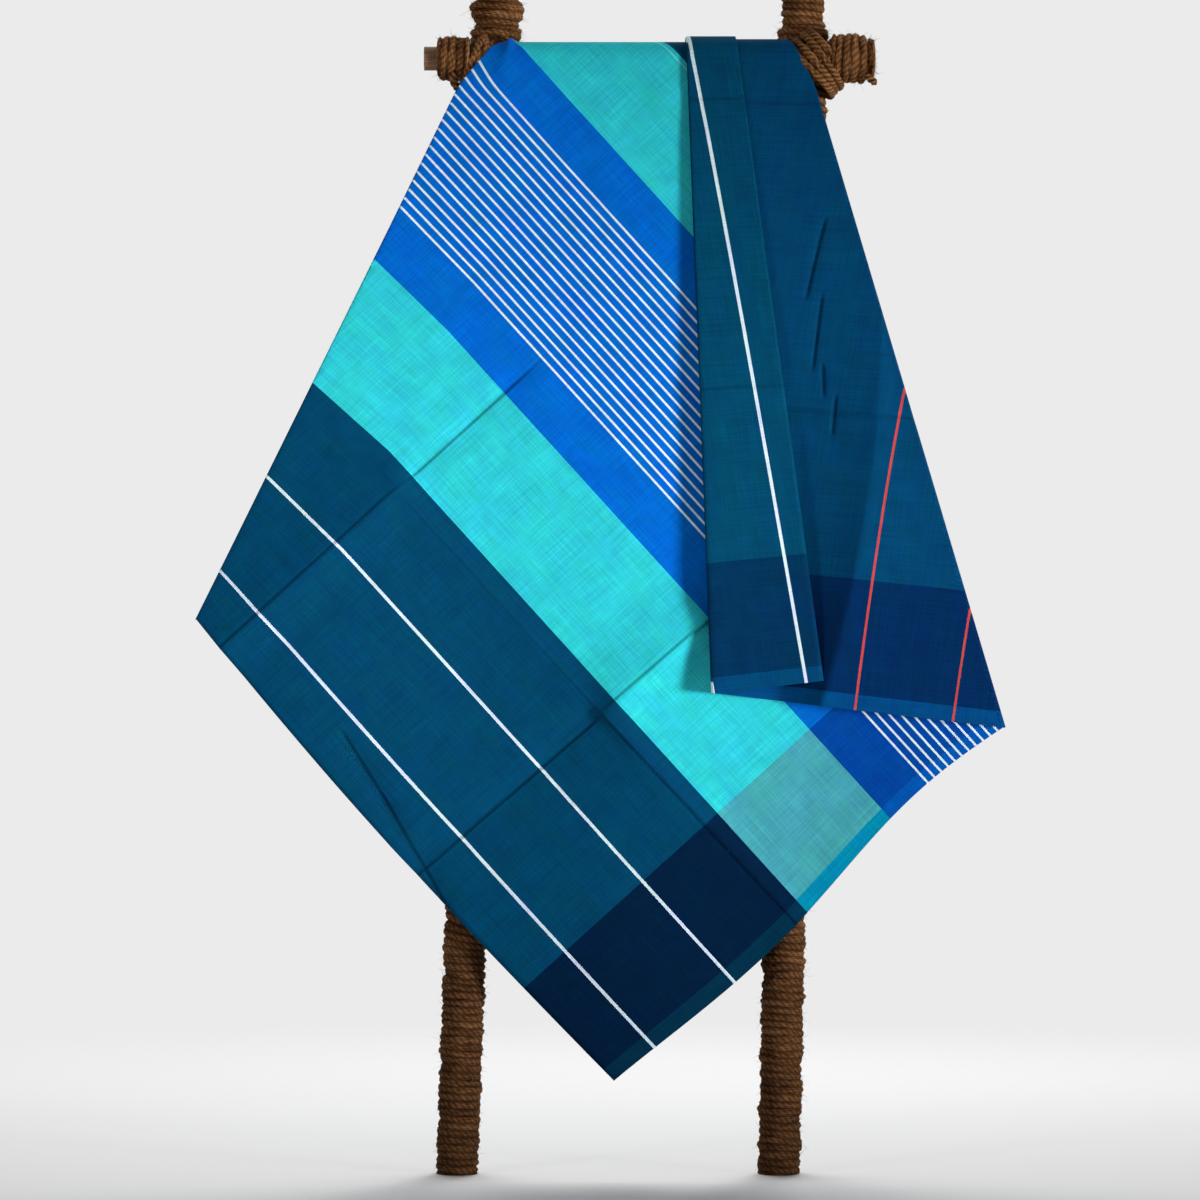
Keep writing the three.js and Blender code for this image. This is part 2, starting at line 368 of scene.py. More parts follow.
@dataclass(frozen=True)
class Crease:
    """One soft pressed fold on the flat cloth: a tent along a straight line, sharp at its crest.

    The line runs from (u, v) to (u, v). Height is towards the viewer, less than nothing for a trough; the
    tent falls off over right_reach and left_reach on its two sides, and past its ends over fade. press is
    how sharply the crest itself is ironed in, and how much painted shade lies along it, from 0 to 1.
    """

    from_u: float
    from_v: float
    to_u: float
    to_v: float
    height: float
    right_reach: float
    left_reach: float
    fade: float
    press: float = 1.0
    sharpness: float = 1.4

    @property
    def run(self) -> float:
        """Length of the line."""
        return math.hypot(self.to_u - self.from_u, self.to_v - self.from_v)

    @property
    def way(self) -> tuple[float, float]:
        """Direction of the line, one long."""
        return (self.to_u - self.from_u) / self.run, (self.to_v - self.from_v) / self.run

    def lift(self, u: np.ndarray, v: np.ndarray) -> np.ndarray:
        """Height at flat points: (1 - distance / reach) to the power of sharpness, fading past the ends.

        Args:
            u: distance up the stripes.
            v: distance along the hem.

        Returns:
            The height in millimetres.
        """
        along_u, along_v = self.way
        along = (u - self.from_u) * along_u + (v - self.from_v) * along_v
        away = (u - self.from_u) * along_v - (v - self.from_v) * along_u
        near = np.where(away > 0.0, away / self.right_reach, -away / self.left_reach)
        window = smooth(along, -self.fade, 0.0) * (1.0 - smooth(along, self.run, self.run + self.fade))
        return self.height * np.clip(1.0 - near, 0.0, None) ** self.sharpness * window


@dataclass(frozen=True)
class StripedCotton:
    """Plain-woven yarn-dyed cotton: matt, with slubby streaks both ways, a faint thread grain and painted
    shade along its pressed creases.

    Bands run along u and are laid out by v; borders and hems lie at each end of u. Sizes in millimetres.
    """

    name: str
    bands: tuple[Band, ...]
    lines: tuple[Line, ...]
    pins: PinStripes | None
    length: float
    creases: tuple[Crease, ...]
    press_half: float = 3.2
    press_depth: float = 2.0
    press_painted_shade: float = 0.24
    hue_patch: tuple[float, float] = (50.0, 22.0)
    hue_spread: float = 0.05
    hue_stops: tuple[float, float] = (0.35, 0.65)
    border_width: float = 134.0
    hem_width: float = 16.0
    thread_spacing: float = 1.7
    thread_depth: float = 0.3
    thread_strength: float = 0.25
    thread_waver: float = 0.6
    thread_waver_scale: float = 0.4
    streak: tuple[float, float] = (60.0, 1.6)
    streak_spread: float = 0.16
    cloud: float = 26.0
    cloud_spread: float = 0.10
    noise_range: tuple[float, float] = (0.25, 0.75)
    noise_roughness: float = 0.6
    roughness: float = 0.85
    gloss: float = 0.03

    def build(self) -> bpy.types.Material:
        """Make the material: fields, border and hem by v and u, then stripes, streaks, painted shade along
        the creases and thread grain.

        Returns:
            The finished material.
        """
        material, tree, shader = new_material(self.name)
        flat = add_node(tree, "UVMap", uv_map="flat").outputs["UV"]
        place = add_node(tree, "SeparateXYZ", {0: flat}).outputs
        colour = self._fields(tree, place["X"], place["Y"])
        colour = self._stripes(tree, place["Y"], colour)
        colour = self._uneven_dye(tree, flat, colour)
        lines = self._pressed_lines(tree, flat)
        # Painted shade: the colour darkens along the pressed lines of the creases.
        painted_shading = remap(tree, calculate(tree, "ABSOLUTE", lines), (0.0, 1.0), (1.0, 1.0 - self.press_painted_shade))
        grain = self._thread_grain(tree, flat)
        feed(tree, shader, {
            "Base Color": scaled(tree, colour, painted_shading),
            "Normal": bump(tree, 1.0, self.press_depth, {"Height": lines, "Normal": grain}),
            "Roughness": self.roughness,
            "Specular IOR Level": self.gloss,
        })
        return material

    def _fields(self, tree: bpy.types.NodeTree, along: Input, across: Input) -> bpy.types.NodeSocket:
        """Colour the broad bands in the body, the border and the hem, and choose among them.

        Args:
            tree: the node tree.
            along: u in metres.
            across: v in metres.

        Returns:
            The colour socket.
        """
        zones = []
        for zone in ("body", "border", "hem"):
            colour = linear(getattr(self.bands[0], zone))
            for band in self.bands[1:]:
                past = calculate(tree, "GREATER_THAN", across, band.start * MM)
                colour = blend(tree, past, colour, linear(getattr(band, zone)))
            zones.append(colour)
        from_far = calculate(tree, "SUBTRACT", self.length * MM, along)
        nearest = calculate(tree, "MINIMUM", along, from_far)
        result, border, hem = zones
        for width, zone in ((self.border_width, border), (self.hem_width, hem)):
            result = blend(tree, calculate(tree, "LESS_THAN", nearest, width * MM), result, zone)
        return result

    def _stripes(self, tree: bpy.types.NodeTree, across: Input, colour: Input) -> bpy.types.NodeSocket:
        """Lay the thin stripes over the fields: single lines, then the even run of pin stripes.

        Args:
            tree: the node tree.
            across: v in metres.
            colour: the fields' colour.

        Returns:
            The colour socket.
        """
        for line in self.lines:
            on_line = calculate(tree, "COMPARE", across, line.middle * MM, line.width / 2 * MM)
            colour = blend(tree, on_line, colour, linear(line.colour))
        pins = self.pins
        if pins is None:
            return colour
        shifted = calculate(tree, "SUBTRACT", across, (pins.first - pins.spacing / 2) * MM)
        repeat = calculate(tree, "WRAP", shifted, pins.spacing * MM, 0.0)
        on_pin = calculate(tree, "COMPARE", repeat, pins.spacing / 2 * MM, pins.width / 2 * MM)
        half_run = (pins.last - pins.first + pins.spacing) / 2 * MM
        in_run = calculate(tree, "COMPARE", across, (pins.first + pins.last) / 2 * MM, half_run)
        return blend(tree, calculate(tree, "MULTIPLY", on_pin, in_run), colour, linear(pins.colour))

    def _uneven_dye(self, tree: bpy.types.NodeTree, flat: Input, colour: Input) -> bpy.types.NodeSocket:
        """Vary the value along threads both ways and in soft clouds, and the hue a little in patches.

        Args:
            tree: the node tree.
            flat: the flat coordinates in metres.
            colour: the pattern's colour.

        Returns:
            The colour socket.
        """
        grains = (
            (self.streak, self.streak_spread),
            (self.streak[::-1], self.streak_spread),
            ((self.cloud, self.cloud), self.cloud_spread),
        )
        for sizes, spread in grains:
            noise = patches(tree, flat, (*sizes, METRE), 2.0, self.noise_roughness)
            colour = scaled(tree, colour, remap(tree, noise, self.noise_range, (1 - spread, 1 + spread)))
        noise = patches(tree, flat, (*self.hue_patch, METRE), 3.0, self.noise_roughness)
        less, more = 1.0 - self.hue_spread, 1.0 + self.hue_spread
        bluer, greener = (1.0, less, more, 1.0), (1.0, more, less, 1.0)
        tint = ramp(tree, noise, (self.hue_stops[0], bluer), (self.hue_stops[1], greener))
        return add_node(tree, "VectorMath", {0: colour, 1: tint}, operation="MULTIPLY").outputs[0]

    def _pressed_lines(self, tree: bpy.types.NodeTree, flat: Input) -> bpy.types.NodeSocket:
        """Add up narrow tents along the creases: (1 - distance / half width) between the line's ends.

        Args:
            tree: the node tree.
            flat: the flat coordinates in metres.

        Returns:
            The height socket, 1 on a crest and -1 in a trough.
        """
        total = 0.0
        for crease in self.creases:
            way_u, way_v = crease.way
            start = (crease.from_u * MM, crease.from_v * MM, 0.0)
            offset = add_node(tree, "VectorMath", {0: flat, 1: start}, operation="SUBTRACT").outputs[0]
            along, away = (
                add_node(tree, "VectorMath", {0: offset, 1: axis}, operation="DOT_PRODUCT").outputs["Value"]
                for axis in ((way_u, way_v, 0.0), (way_v, -way_u, 0.0))
            )
            half = crease.run / 2
            from_middle = calculate(tree, "ABSOLUTE", calculate(tree, "SUBTRACT", along, half * MM))
            ends = (half * MM, (half + crease.fade) * MM)
            window = remap(tree, from_middle, ends, (1.0, 0.0), "SMOOTHSTEP")
            crest = math.copysign(crease.press, crease.height)
            near = calculate(tree, "ABSOLUTE", away)
            tent = remap(tree, near, (0.0, self.press_half * MM), (crest, 0.0))
            total = calculate(tree, "MULTIPLY_ADD", tent, window, total)
        return total

    def _thread_grain(self, tree: bpy.types.NodeTree, flat: Input) -> bpy.types.NodeSocket:
        """Raise crossing threads, drawn some four times as coarse as real ones so that they show.

        Args:
            tree: the node tree.
            flat: the flat coordinates in metres.

        Returns:
            The normal socket.
        """
        inputs = {
            "Vector": flat,
            "Scale": WAVE_PERIOD / (self.thread_spacing * MM),
            "Distortion": self.thread_waver,
            "Detail Scale": self.thread_waver_scale,
        }
        waves = (
            add_node(tree, "TexWave", inputs, wave_type="BANDS", bands_direction=way).outputs["Fac"]
            for way in ("X", "Y")
        )
        height = calculate(tree, "MULTIPLY", *waves)
        return bump(tree, self.thread_strength, self.thread_depth, {"Height": height})


@dataclass(frozen=True)
class CoirRope:
    """Twisted coconut fibre: rough dry brown, with painted shade between turns and strands and painted
    highlight on its high fibres.
    """

    name: str
    pale: str = "#9C6E45"
    mid: str = "#5A381C"
    dark: str = "#170C05"
    dark_at: float = 0.05
    mid_at: float = 0.55
    pale_at: float = 0.95
    fibre_length: float = 12.0
    fibre_width: float = 0.8
    fibre_depth: float = 0.8
    fibre_strength: float = 0.6
    fibre_range: tuple[float, float] = (0.3, 0.7)
    fibre_spread: float = 0.32
    noise_roughness: float = 0.65
    darker_below_height: float = 1150.0
    floor_brightness: float = 0.44
    roughness: float = 0.95
    gloss: float = 0.1

    def build(self) -> bpy.types.Material:
        """Make the material: height over the valleys sets painted shade to painted highlight, fibres vary
        it, and it grows darker towards its foot.

        Returns:
            The finished material.
        """
        material, tree, shader = new_material(self.name)
        rise = add_node(tree, "Attribute", attribute_name="rise").outputs["Fac"]
        lay = add_node(tree, "UVMap", uv_map="flat").outputs["UV"]
        fibres = patches(tree, lay, (self.fibre_length, self.fibre_width, METRE), 3.0, self.noise_roughness)
        lift = remap(tree, fibres, self.fibre_range, (-self.fibre_spread, self.fibre_spread))
        # The ramp paints shade where rise is low, in the valleys, and highlight where it is high, on the
        # crests.
        brown = ramp(
            tree, calculate(tree, "ADD", rise, lift), (self.dark_at, linear(self.dark)),
            (self.pale_at, linear(self.pale)), (self.mid_at, linear(self.mid)),
        )
        where = add_node(tree, "TexCoord").outputs["Object"]
        height = add_node(tree, "SeparateXYZ", {0: where}).outputs["Z"]
        # Darker towards the bottom: the colour is scaled down more the nearer it is to the floor.
        darker_below = remap(tree, height, (0.0, self.darker_below_height * MM), (self.floor_brightness, 1.0))
        feed(tree, shader, {
            "Base Color": scaled(tree, brown, darker_below),
            "Normal": bump(tree, self.fibre_strength, self.fibre_depth, {"Height": fibres}),
            "Roughness": self.roughness,
            "Specular IOR Level": self.gloss,
        })
        return material


@dataclass(frozen=True)
class WeatheredRod:
    """Bare seasoned wood: grey-brown long grain with darker growth lines, dry and matt."""

    name: str
    pale: str = "#9A7350"
    dark: str = "#4B3221"
    dark_at: float = 0.3
    pale_at: float = 0.7
    grain_length: float = 60.0
    grain_width: float = 1.8
    grain_depth: float = 0.4
    grain_strength: float = 0.4
    noise_roughness: float = 0.6
    roughness: float = 0.75

    def build(self) -> bpy.types.Material:
        """Make the material: noise drawn out along the rod gives the grain.

        Returns:
            The finished material.
        """
        material, tree, shader = new_material(self.name)
        where = add_node(tree, "TexCoord").outputs["Object"]
        sizes = (self.grain_length, self.grain_width, self.grain_width)
        grain = patches(tree, where, sizes, 4.0, self.noise_roughness)
        stops = (self.dark_at, linear(self.dark)), (self.pale_at, linear(self.pale))
        feed(tree, shader, {
            "Base Color": ramp(tree, grain, *stops),
            "Normal": bump(tree, self.grain_strength, self.grain_depth, {"Height": grain}),
            "Roughness": self.roughness,
        })
        return material


@dataclass
class Columns:
    """Lines of the cloth from its lower outline over the rung to its far end, one to a row."""

    panel: np.ndarray
    foot_flat: np.ndarray
    end_flat: np.ndarray
    foot_view: np.ndarray
    end_view: np.ndarray
    order: np.ndarray
    swing: np.ndarray
    bulge: np.ndarray
    across: np.ndarray


@dataclass
class Sarong:
    """The cloth: a flattened tube, folded along three slanting lines and hung over the rung (millimetres).

    u runs up the stripes from the near hem and v along that hem; views are (x, z) seen from the front.
    """

    length: float = 1139.0
    width: float = 971.0
    far_edge_slant: float = 0.035
    low_corner: tuple[float, float] = (15.0, 103.0)
    hem_rise_deg: float = 42.2
    left_fold: tuple = ((648.0, 0.0), (898.0, 633.0))
    right_fold: tuple = ((0.0, 548.0), (675.0, 874.0))
    pleat_fold: tuple = ((0.0, 857.0), (683.0, 953.0))
    pleat_fold_hangs: tuple = ((118.0, 507.0), (92.0, 1196.0))
    pleat_edge_hangs: tuple = ((233.0, 520.0), (142.0, 1195.0))
    rung_radius: float = 12.5
    rung_height: float = 1172.0
    rung_middle_x: float = 51.5
    solid_thickness: float = 1.2
    cloth_to_rung: float = 0.8
    layer_pitch: float = 3.0
    ply_gap: float = 1.0
    swings: dict = field(
        default_factory=lambda: {Panel.BACK: 0.0, Panel.MAIN: 5.0, Panel.FLAP: 15.0, Panel.PLEAT: 27.0}
    )
    swing_length: float = 690.0
    ridge_forward: float = 18.0
    ridge_sunk: float = 0.48
    ridge_sharpness: float = 1.4
    ridge_growth: float = 0.7
    ridge_fall: float = 0.42
    ridge_across_at_hem: float = 0.63
    ridge_start_share: float = 0.65
    gather_heights: tuple[float, float] = (-40.0, 40.0)
    gather_left: tuple[float, float, float] = (-119.0, -85.0, 20.0)
    gather_right: tuple[float, float, float] = (150.0, 210.0, -13.0)
    gather_roll: float = 5.0
    ride_forward: float = 12.0
    ride_x: tuple[float, float] = (20.0, 132.0)
    ride_heights: tuple[float, float, float] = (-200.0, -26.0, 26.0)
    wave_depth: float = 8.0
    wave_length: float = 340.0
    wave_phase: float = 0.9
    hem_stray: float = 10.0
    hem_stray_skew: float = 1.3
    edge_stray: float = 9.0
    stray_fade: float = 130.0
    drift: float = 11.0
    drift_middle: float = 270.0
    drift_half: float = 170.0
    drift_reach: float = 110.0
    crease_start: float = 0.12
    fold_steps: int = 8
    rows_front: int = 130
    rows_over: int = 16
    rows_behind: int = 14
    columns_back: int = 22
    columns_edge: int = 80
    columns_hem: int = 68
    columns_flap: int = 80
    columns_pleat: int = 24
    creases: tuple[Crease, ...] = (
        Crease(609, -20, 609, 255, 13.0, 84, 40, 18),
        Crease(609, 285, 609, 400, -3.2, 20, 26, 70),
        Crease(297, -20, 291, 238, -9.0, 40, 84, 14),
        Crease(292, 272, 290, 386, 11.5, 64, 40, 22),
        Crease(285, 248, -20, 252, 8.0, 28, 72, 20),
        Crease(590, 246, 310, 248, 2.6, 18, 36, 40, 0.25),
        Crease(445, 35, 370, 23, -3.2, 12, 16, 25),
        Crease(370, 23, 253, 0, -3.2, 12, 16, 20),
        Crease(303, 694, 300, 884, -2.4, 36, 22, 10, 0.5),
        Crease(312, 905, 310, 1000, 2.2, 24, 24, 8, 0.5),
        Crease(612, 850, 616, 990, -2.4, 24, 30, 20, 0.5),
        Crease(489, 813, 424, 815, -1.4, 8, 5, 14, 0.8),
        Crease(412, 801, 352, 798, -1.2, 8, 5, 14, 0.8),
        Crease(344, 788, 323, 784, -1.0, 8, 5, 10, 0.7),
        Crease(313, 771, 285, 769, -1.0, 8, 5, 10, 0.7),
    )

    def place_flat(self, flat: np.ndarray) -> np.ndarray:
        """Turn and shift flat points into the front view.

        Args:
            flat: points (u, v) in the last axis.

        Returns:
            Points (x, z) in the last axis.
        """
        rise = math.radians(self.hem_rise_deg)
        turn = np.array([[-math.sin(rise), math.cos(rise)], [math.cos(rise), math.sin(rise)]])
        return np.array(self.low_corner) + flat @ turn

    def far_end(self, foot: np.ndarray, head: np.ndarray) -> np.ndarray:
        """Carry a straight line on to the cloth's far edge, v = width + slant u.

        Args:
            foot: the line's start.
            head: a point on it.

        Returns:
            Where it meets the far edge.
        """
        rise = (head[1] - foot[1]) - self.far_edge_slant * (head[0] - foot[0])
        reach = (self.width + self.far_edge_slant * foot[0] - foot[1]) / rise
        return mix(foot, head, reach)

    def _panel(self, panel: Panel, flat: tuple, view: tuple, counts: np.ndarray, across: bool) -> Columns:
        """Lines evenly spread between two lines of one layer.

        Args:
            panel: the layer.
            flat: foot and end of the first line and of the last one, on the flat cloth.
            view: the same in the front view.
            counts: shares from the first line to the last one.
            across: whether the flap's ridge crosses this layer.

        Returns:
            The lines.
        """
        share = counts[:, None]
        (foot_a, end_a), (foot_b, end_b) = (np.array(side) for side in flat)
        (seen_a, top_a), (seen_b, top_b) = (np.array(side) for side in view)
        size = len(counts)
        return Columns(
            np.full(size, panel.value), mix(foot_a, foot_b, share), mix(end_a, end_b, share),
            mix(seen_a, seen_b, share), mix(top_a, top_b, share),
            np.full(size, float(panel.value)), np.full(size, self.swings[panel]), np.zeros((size, 2)),
            counts if across else np.zeros(size),
        )

    def _fold(self, lower: Panel, upper: Panel, flat: tuple, view: tuple, side: float) -> Columns:
        """Lines half round a small cylinder from one layer to the next: x = r sin, depth = (1 - cos) / 2.

        Args:
            lower: the layer behind.
            upper: the layer in front.
            flat: foot and end of the fold on the flat cloth.
            view: the same in the front view.
            side: which way the fold bulges, 1 to the right and -1 to the left.

        Returns:
            The lines.
        """
        turn = np.linspace(0.0, math.pi, self.fold_steps + 1)[1:-1]
        foot, end = np.array(view)
        run = (end - foot) / np.linalg.norm(end - foot)
        outward = side * np.array([run[1], -run[0]])
        share = (1.0 - np.cos(turn)) / 2.0
        size = len(turn)
        return Columns(
            np.full(size, upper.value), np.tile(flat[0], (size, 1)), np.tile(flat[1], (size, 1)),
            np.tile(foot, (size, 1)), np.tile(end, (size, 1)),
            mix(float(lower.value), float(upper.value), share),
            mix(self.swings[lower], self.swings[upper], share),
            np.sin(turn)[:, None] * outward * self.layer_pitch / 2.0, np.zeros(size),
        )

    def columns(self) -> Columns:
        """Set out every line of the cloth, from the far hem round the three folds to the far edge.

        Returns:
            The lines in order.
        """
        left_foot, left_head = (np.array(point) for point in self.left_fold)
        right_foot, right_head = (np.array(point) for point in self.right_fold)
        left_end = self.far_end(left_foot, left_head)
        right_end = self.far_end(right_foot, right_head)
        far_foot = np.array([self.length, 0.0])
        far_end = np.array([self.length, self.width + self.far_edge_slant * self.length])
        corner = np.zeros(2)
        place = self.place_flat
        run = place(left_head) - place(left_foot)
        run = run / np.linalg.norm(run)

        def mirrored(flat: np.ndarray) -> np.ndarray:
            """Front view of a flat point, mirrored in the left fold."""
            away = place(flat) - place(left_foot)
            return place(left_foot) + 2.0 * (away @ run) * run - away

        edge_shares = np.linspace(0.0, 1.0, self.columns_edge + 1)
        hem_shares = np.linspace(0.0, 1.0, self.columns_hem + 1)
        turn_share = self.columns_edge / (self.columns_edge + self.columns_hem)
        corner_end = mix(left_end, right_end, turn_share)
        reach = np.linalg.norm(right_end - right_foot) / np.linalg.norm(right_head - right_foot)
        pleat_flat = (np.array(self.pleat_fold[0]), mix(*map(np.array, self.pleat_fold), reach))
        pleat_view = (np.array(self.pleat_fold_hangs[0]), mix(*map(np.array, self.pleat_fold_hangs), reach))
        edge_foot = np.array([0.0, self.width])
        edge_head_u = self.pleat_fold[1][0]
        edge_head = np.array([edge_head_u, self.width + self.far_edge_slant * edge_head_u])
        edge_flat = (edge_foot, mix(edge_foot, edge_head, reach))
        edge_view = (np.array(self.pleat_edge_hangs[0]), mix(*map(np.array, self.pleat_edge_hangs), reach))
        left_flat, right_flat = (left_foot, left_end), (right_foot, right_end)
        left_view, right_view = (place(left_foot), place(left_end)), (place(right_foot), place(right_end))
        corner_flat = (corner, corner_end)
        corner_view = (place(corner), place(corner_end))
        pieces = [
            self._panel(
                Panel.BACK, ((far_foot, far_end), left_flat),
                ((mirrored(far_foot), mirrored(far_end)), left_view),
                np.linspace(0.0, 1.0, self.columns_back + 1), False,
            ),
            self._fold(Panel.BACK, Panel.MAIN, left_flat, left_view, -1.0),
            self._panel(Panel.MAIN, (left_flat, corner_flat), (left_view, corner_view), edge_shares, False),
            self._panel(
                Panel.MAIN, (corner_flat, right_flat), (corner_view, right_view), hem_shares[1:], False
            ),
            self._fold(Panel.MAIN, Panel.FLAP, right_flat, right_view, 1.0),
            self._panel(
                Panel.FLAP, (right_flat, pleat_flat), (right_view, pleat_view),
                np.linspace(0.0, 1.0, self.columns_flap + 1), True,
            ),
            self._fold(Panel.FLAP, Panel.PLEAT, pleat_flat, pleat_view, -1.0),
            self._panel(
                Panel.PLEAT, (pleat_flat, edge_flat), (pleat_view, edge_view),
                np.linspace(0.0, 1.0, self.columns_pleat + 1), False,
            ),
        ]
        names = [entry.name for entry in fields(Columns)]
        return Columns(*(np.concatenate([getattr(piece, name) for piece in pieces]) for name in names))

    def turn_radius(self, order: np.ndarray) -> np.ndarray:
        """Distance of a layer's middle from the rung's axis where it passes over the rung."""
        return self.rung_radius + self.cloth_to_rung + self.solid_thickness / 2.0 + order * self.layer_pitch

    def shares(self, lines: Columns, turn_length: float) -> np.ndarray:
        """Where each row lies on its line: down the front, over the rung, and behind it.

        Args:
            lines: the cloth's lines.
            turn_length: the cloth's length over the rung.

        Returns:
            A share of each line for each row.
        """
        foot = lines.foot_view[:, 1] - self.rung_height
        rise = lines.end_view[:, 1] - lines.foot_view[:, 1]
        up = (-foot / rise)[:, None]
        down = ((turn_length - foot) / rise)[:, None]
        front = np.linspace(0.0, 1.0, self.rows_front + 1)[None, :-1]
        over = np.linspace(0.0, 1.0, self.rows_over + 1)[None, :]
        behind = np.linspace(0.0, 1.0, self.rows_behind + 1)[None, 1:]
        return np.concatenate([up * front, mix(up, down, over), mix(down, 1.0, behind)], axis=1)

    def strayed(self, flat: np.ndarray, lines: Columns) -> np.ndarray:
        """Shift of the main panel's lower outline: the hem in one skewed wave, the near edge in one bow.

        Args:
            flat: flat points, by line and row.
            lines: the cloth's lines.

        Returns:
            The shift on the flat cloth.
        """
        u, v = flat[..., 0], flat[..., 1]
        hem_end, edge_end = self.right_fold[0][1], self.left_fold[0][0]
        along = np.clip(v / hem_end, 0.0, 1.0) ** self.hem_stray_skew
        hem_fade = np.clip(1.0 - u / self.stray_fade, 0.0, None) ** 2
        hem = self.hem_stray * np.sin(2.0 * math.pi * along) * hem_fade
        up = np.clip(u / edge_end, 0.0, 1.0)
        edge_fade = np.clip(1.0 - v / self.stray_fade, 0.0, None) ** 2
        edge = self.edge_stray * np.sin(math.pi * up) * edge_fade
        here = (lines.panel == Panel.MAIN.value)[:, None]
        return np.stack([-hem * here, -edge * here], axis=-1)

    def drifted(self, flat: np.ndarray) -> np.ndarray:
        """Shift of the pattern along the hem near the left fold, where the cloth is pulled on the bias.

        A tent across the fold line times the bell exp(-((v - middle) / half)^2).

        Args:
            flat: flat points, by line and row.

        Returns:
            The shift in v for each point.
        """
        (foot_u, foot_v), (head_u, head_v) = self.left_fold
        lean = (head_u - foot_u) / (head_v - foot_v)
        past = flat[..., 0] - foot_u - lean * flat[..., 1]
        tent = np.clip(1.0 - np.abs(past) / self.drift_reach, 0.0, None)
        return self.drift * tent * np.exp(-(((flat[..., 1] - self.drift_middle) / self.drift_half) ** 2))

    def stand_off(
        self, lines: Columns, share: np.ndarray, x: np.ndarray, height: np.ndarray, flat: np.ndarray
    ) -> np.ndarray:
        """Distance from the rung's axis: layer, swing, long waves, the flap's ridge and the creases.

        Args:
            lines: the cloth's lines.
            share: place of each point on its line.
            x: place across the view.
            height: height over the rung's axis, along the cloth.
            flat: flat points.

        Returns:
            The distance for each point.
        """
        drop = np.clip(-height, 0.0, None) / self.swing_length
        wave = self.wave_depth * drop * (
            1.0 + np.sin(2.0 * math.pi * x / self.wave_length + self.wave_phase)
        ) / 2.0
        low, full, gone = self.ride_heights
        ride = self.ride_forward * smooth(-x, *self.ride_x) * smooth(height, low, full)
        ride = ride * (1.0 - smooth(height, full, gone))
        reach = np.linalg.norm(lines.end_view - lines.foot_view, axis=1)[:, None]
        foot_to_rung = share * reach / self.swing_length
        below = np.clip(1.0 - foot_to_rung / self.ridge_start_share, 0.0, None)
        crest = np.clip(self.ridge_across_at_hem * below, TINY, None)
        across = lines.across[:, None]
        past = np.clip((across - crest) / (1.0 - crest), 0.0, 1.0)
        fall = np.clip(1.0 - past / self.ridge_fall, 0.0, None) ** self.ridge_sharpness
        regain = 1.0 - smooth(past, self.ridge_fall, 1.0)
        sunk = (1.0 + self.ridge_sunk) * fall - self.ridge_sunk * regain
        rise = np.where(across < crest, (across / crest) ** self.ridge_sharpness, sunk)
        ridge = self.ridge_forward * below**self.ridge_growth * rise * (across > 0.0)
        folds = sum(crease.lift(flat[..., 0], flat[..., 1]) for crease in self.creases)
        folds = folds * (lines.panel != Panel.BACK.value)[:, None] * smooth(drop, 0.0, self.crease_start)
        swing = lines.swing[:, None] * np.minimum(drop, 1.0)
        return self.turn_radius(lines.order)[:, None] + swing + wave + ride + ridge + folds

    def surface(self) -> tuple[np.ndarray, np.ndarray]:
        """Work out the cloth's middle surface.

        Returns:
            Points in millimetres about the rung's axis and floor, and flat points, by line and row.
        """
        lines = self.columns()
        turn_length = math.pi * float(self.turn_radius(np.array(float(Panel.MAIN.value))))
        share = self.shares(lines, turn_length)
        flat = mix(lines.foot_flat[:, None], lines.end_flat[:, None], share[..., None])
        view = mix(lines.foot_view[:, None], lines.end_view[:, None], share[..., None])
        view = view + self.place_flat(self.strayed(flat, lines)) - np.array(self.low_corner)
        view = view + lines.bulge[:, None]
        height = view[..., 1] - self.rung_height
        drawn = smooth(height, *self.gather_heights)
        left_from, left_to, left_shift = self.gather_left
        right_from, right_to, right_shift = self.gather_right
        from_left = smooth(view[..., 0], left_from, left_to)
        from_right = smooth(view[..., 0], right_from, right_to)
        x = view[..., 0] + drawn * (left_shift * (1.0 - from_left) + right_shift * from_right)
        rolled = 4.0 * from_left * (1.0 - from_left) * (lines.panel == Panel.MAIN.value)[:, None]
        radius = self.stand_off(lines, share, x, height, flat) + self.gather_roll * drawn * rolled
        angle = math.pi * np.clip(height / turn_length, 0.0, 1.0)
        z = self.rung_height + radius * np.sin(angle) + np.minimum(height, 0.0)
        z = z - np.clip(height - turn_length, 0.0, None)
        pattern = np.stack([flat[..., 0], flat[..., 1] + self.drifted(flat)], axis=-1)
        return np.stack([x, -radius * np.cos(angle), z], axis=-1), pattern

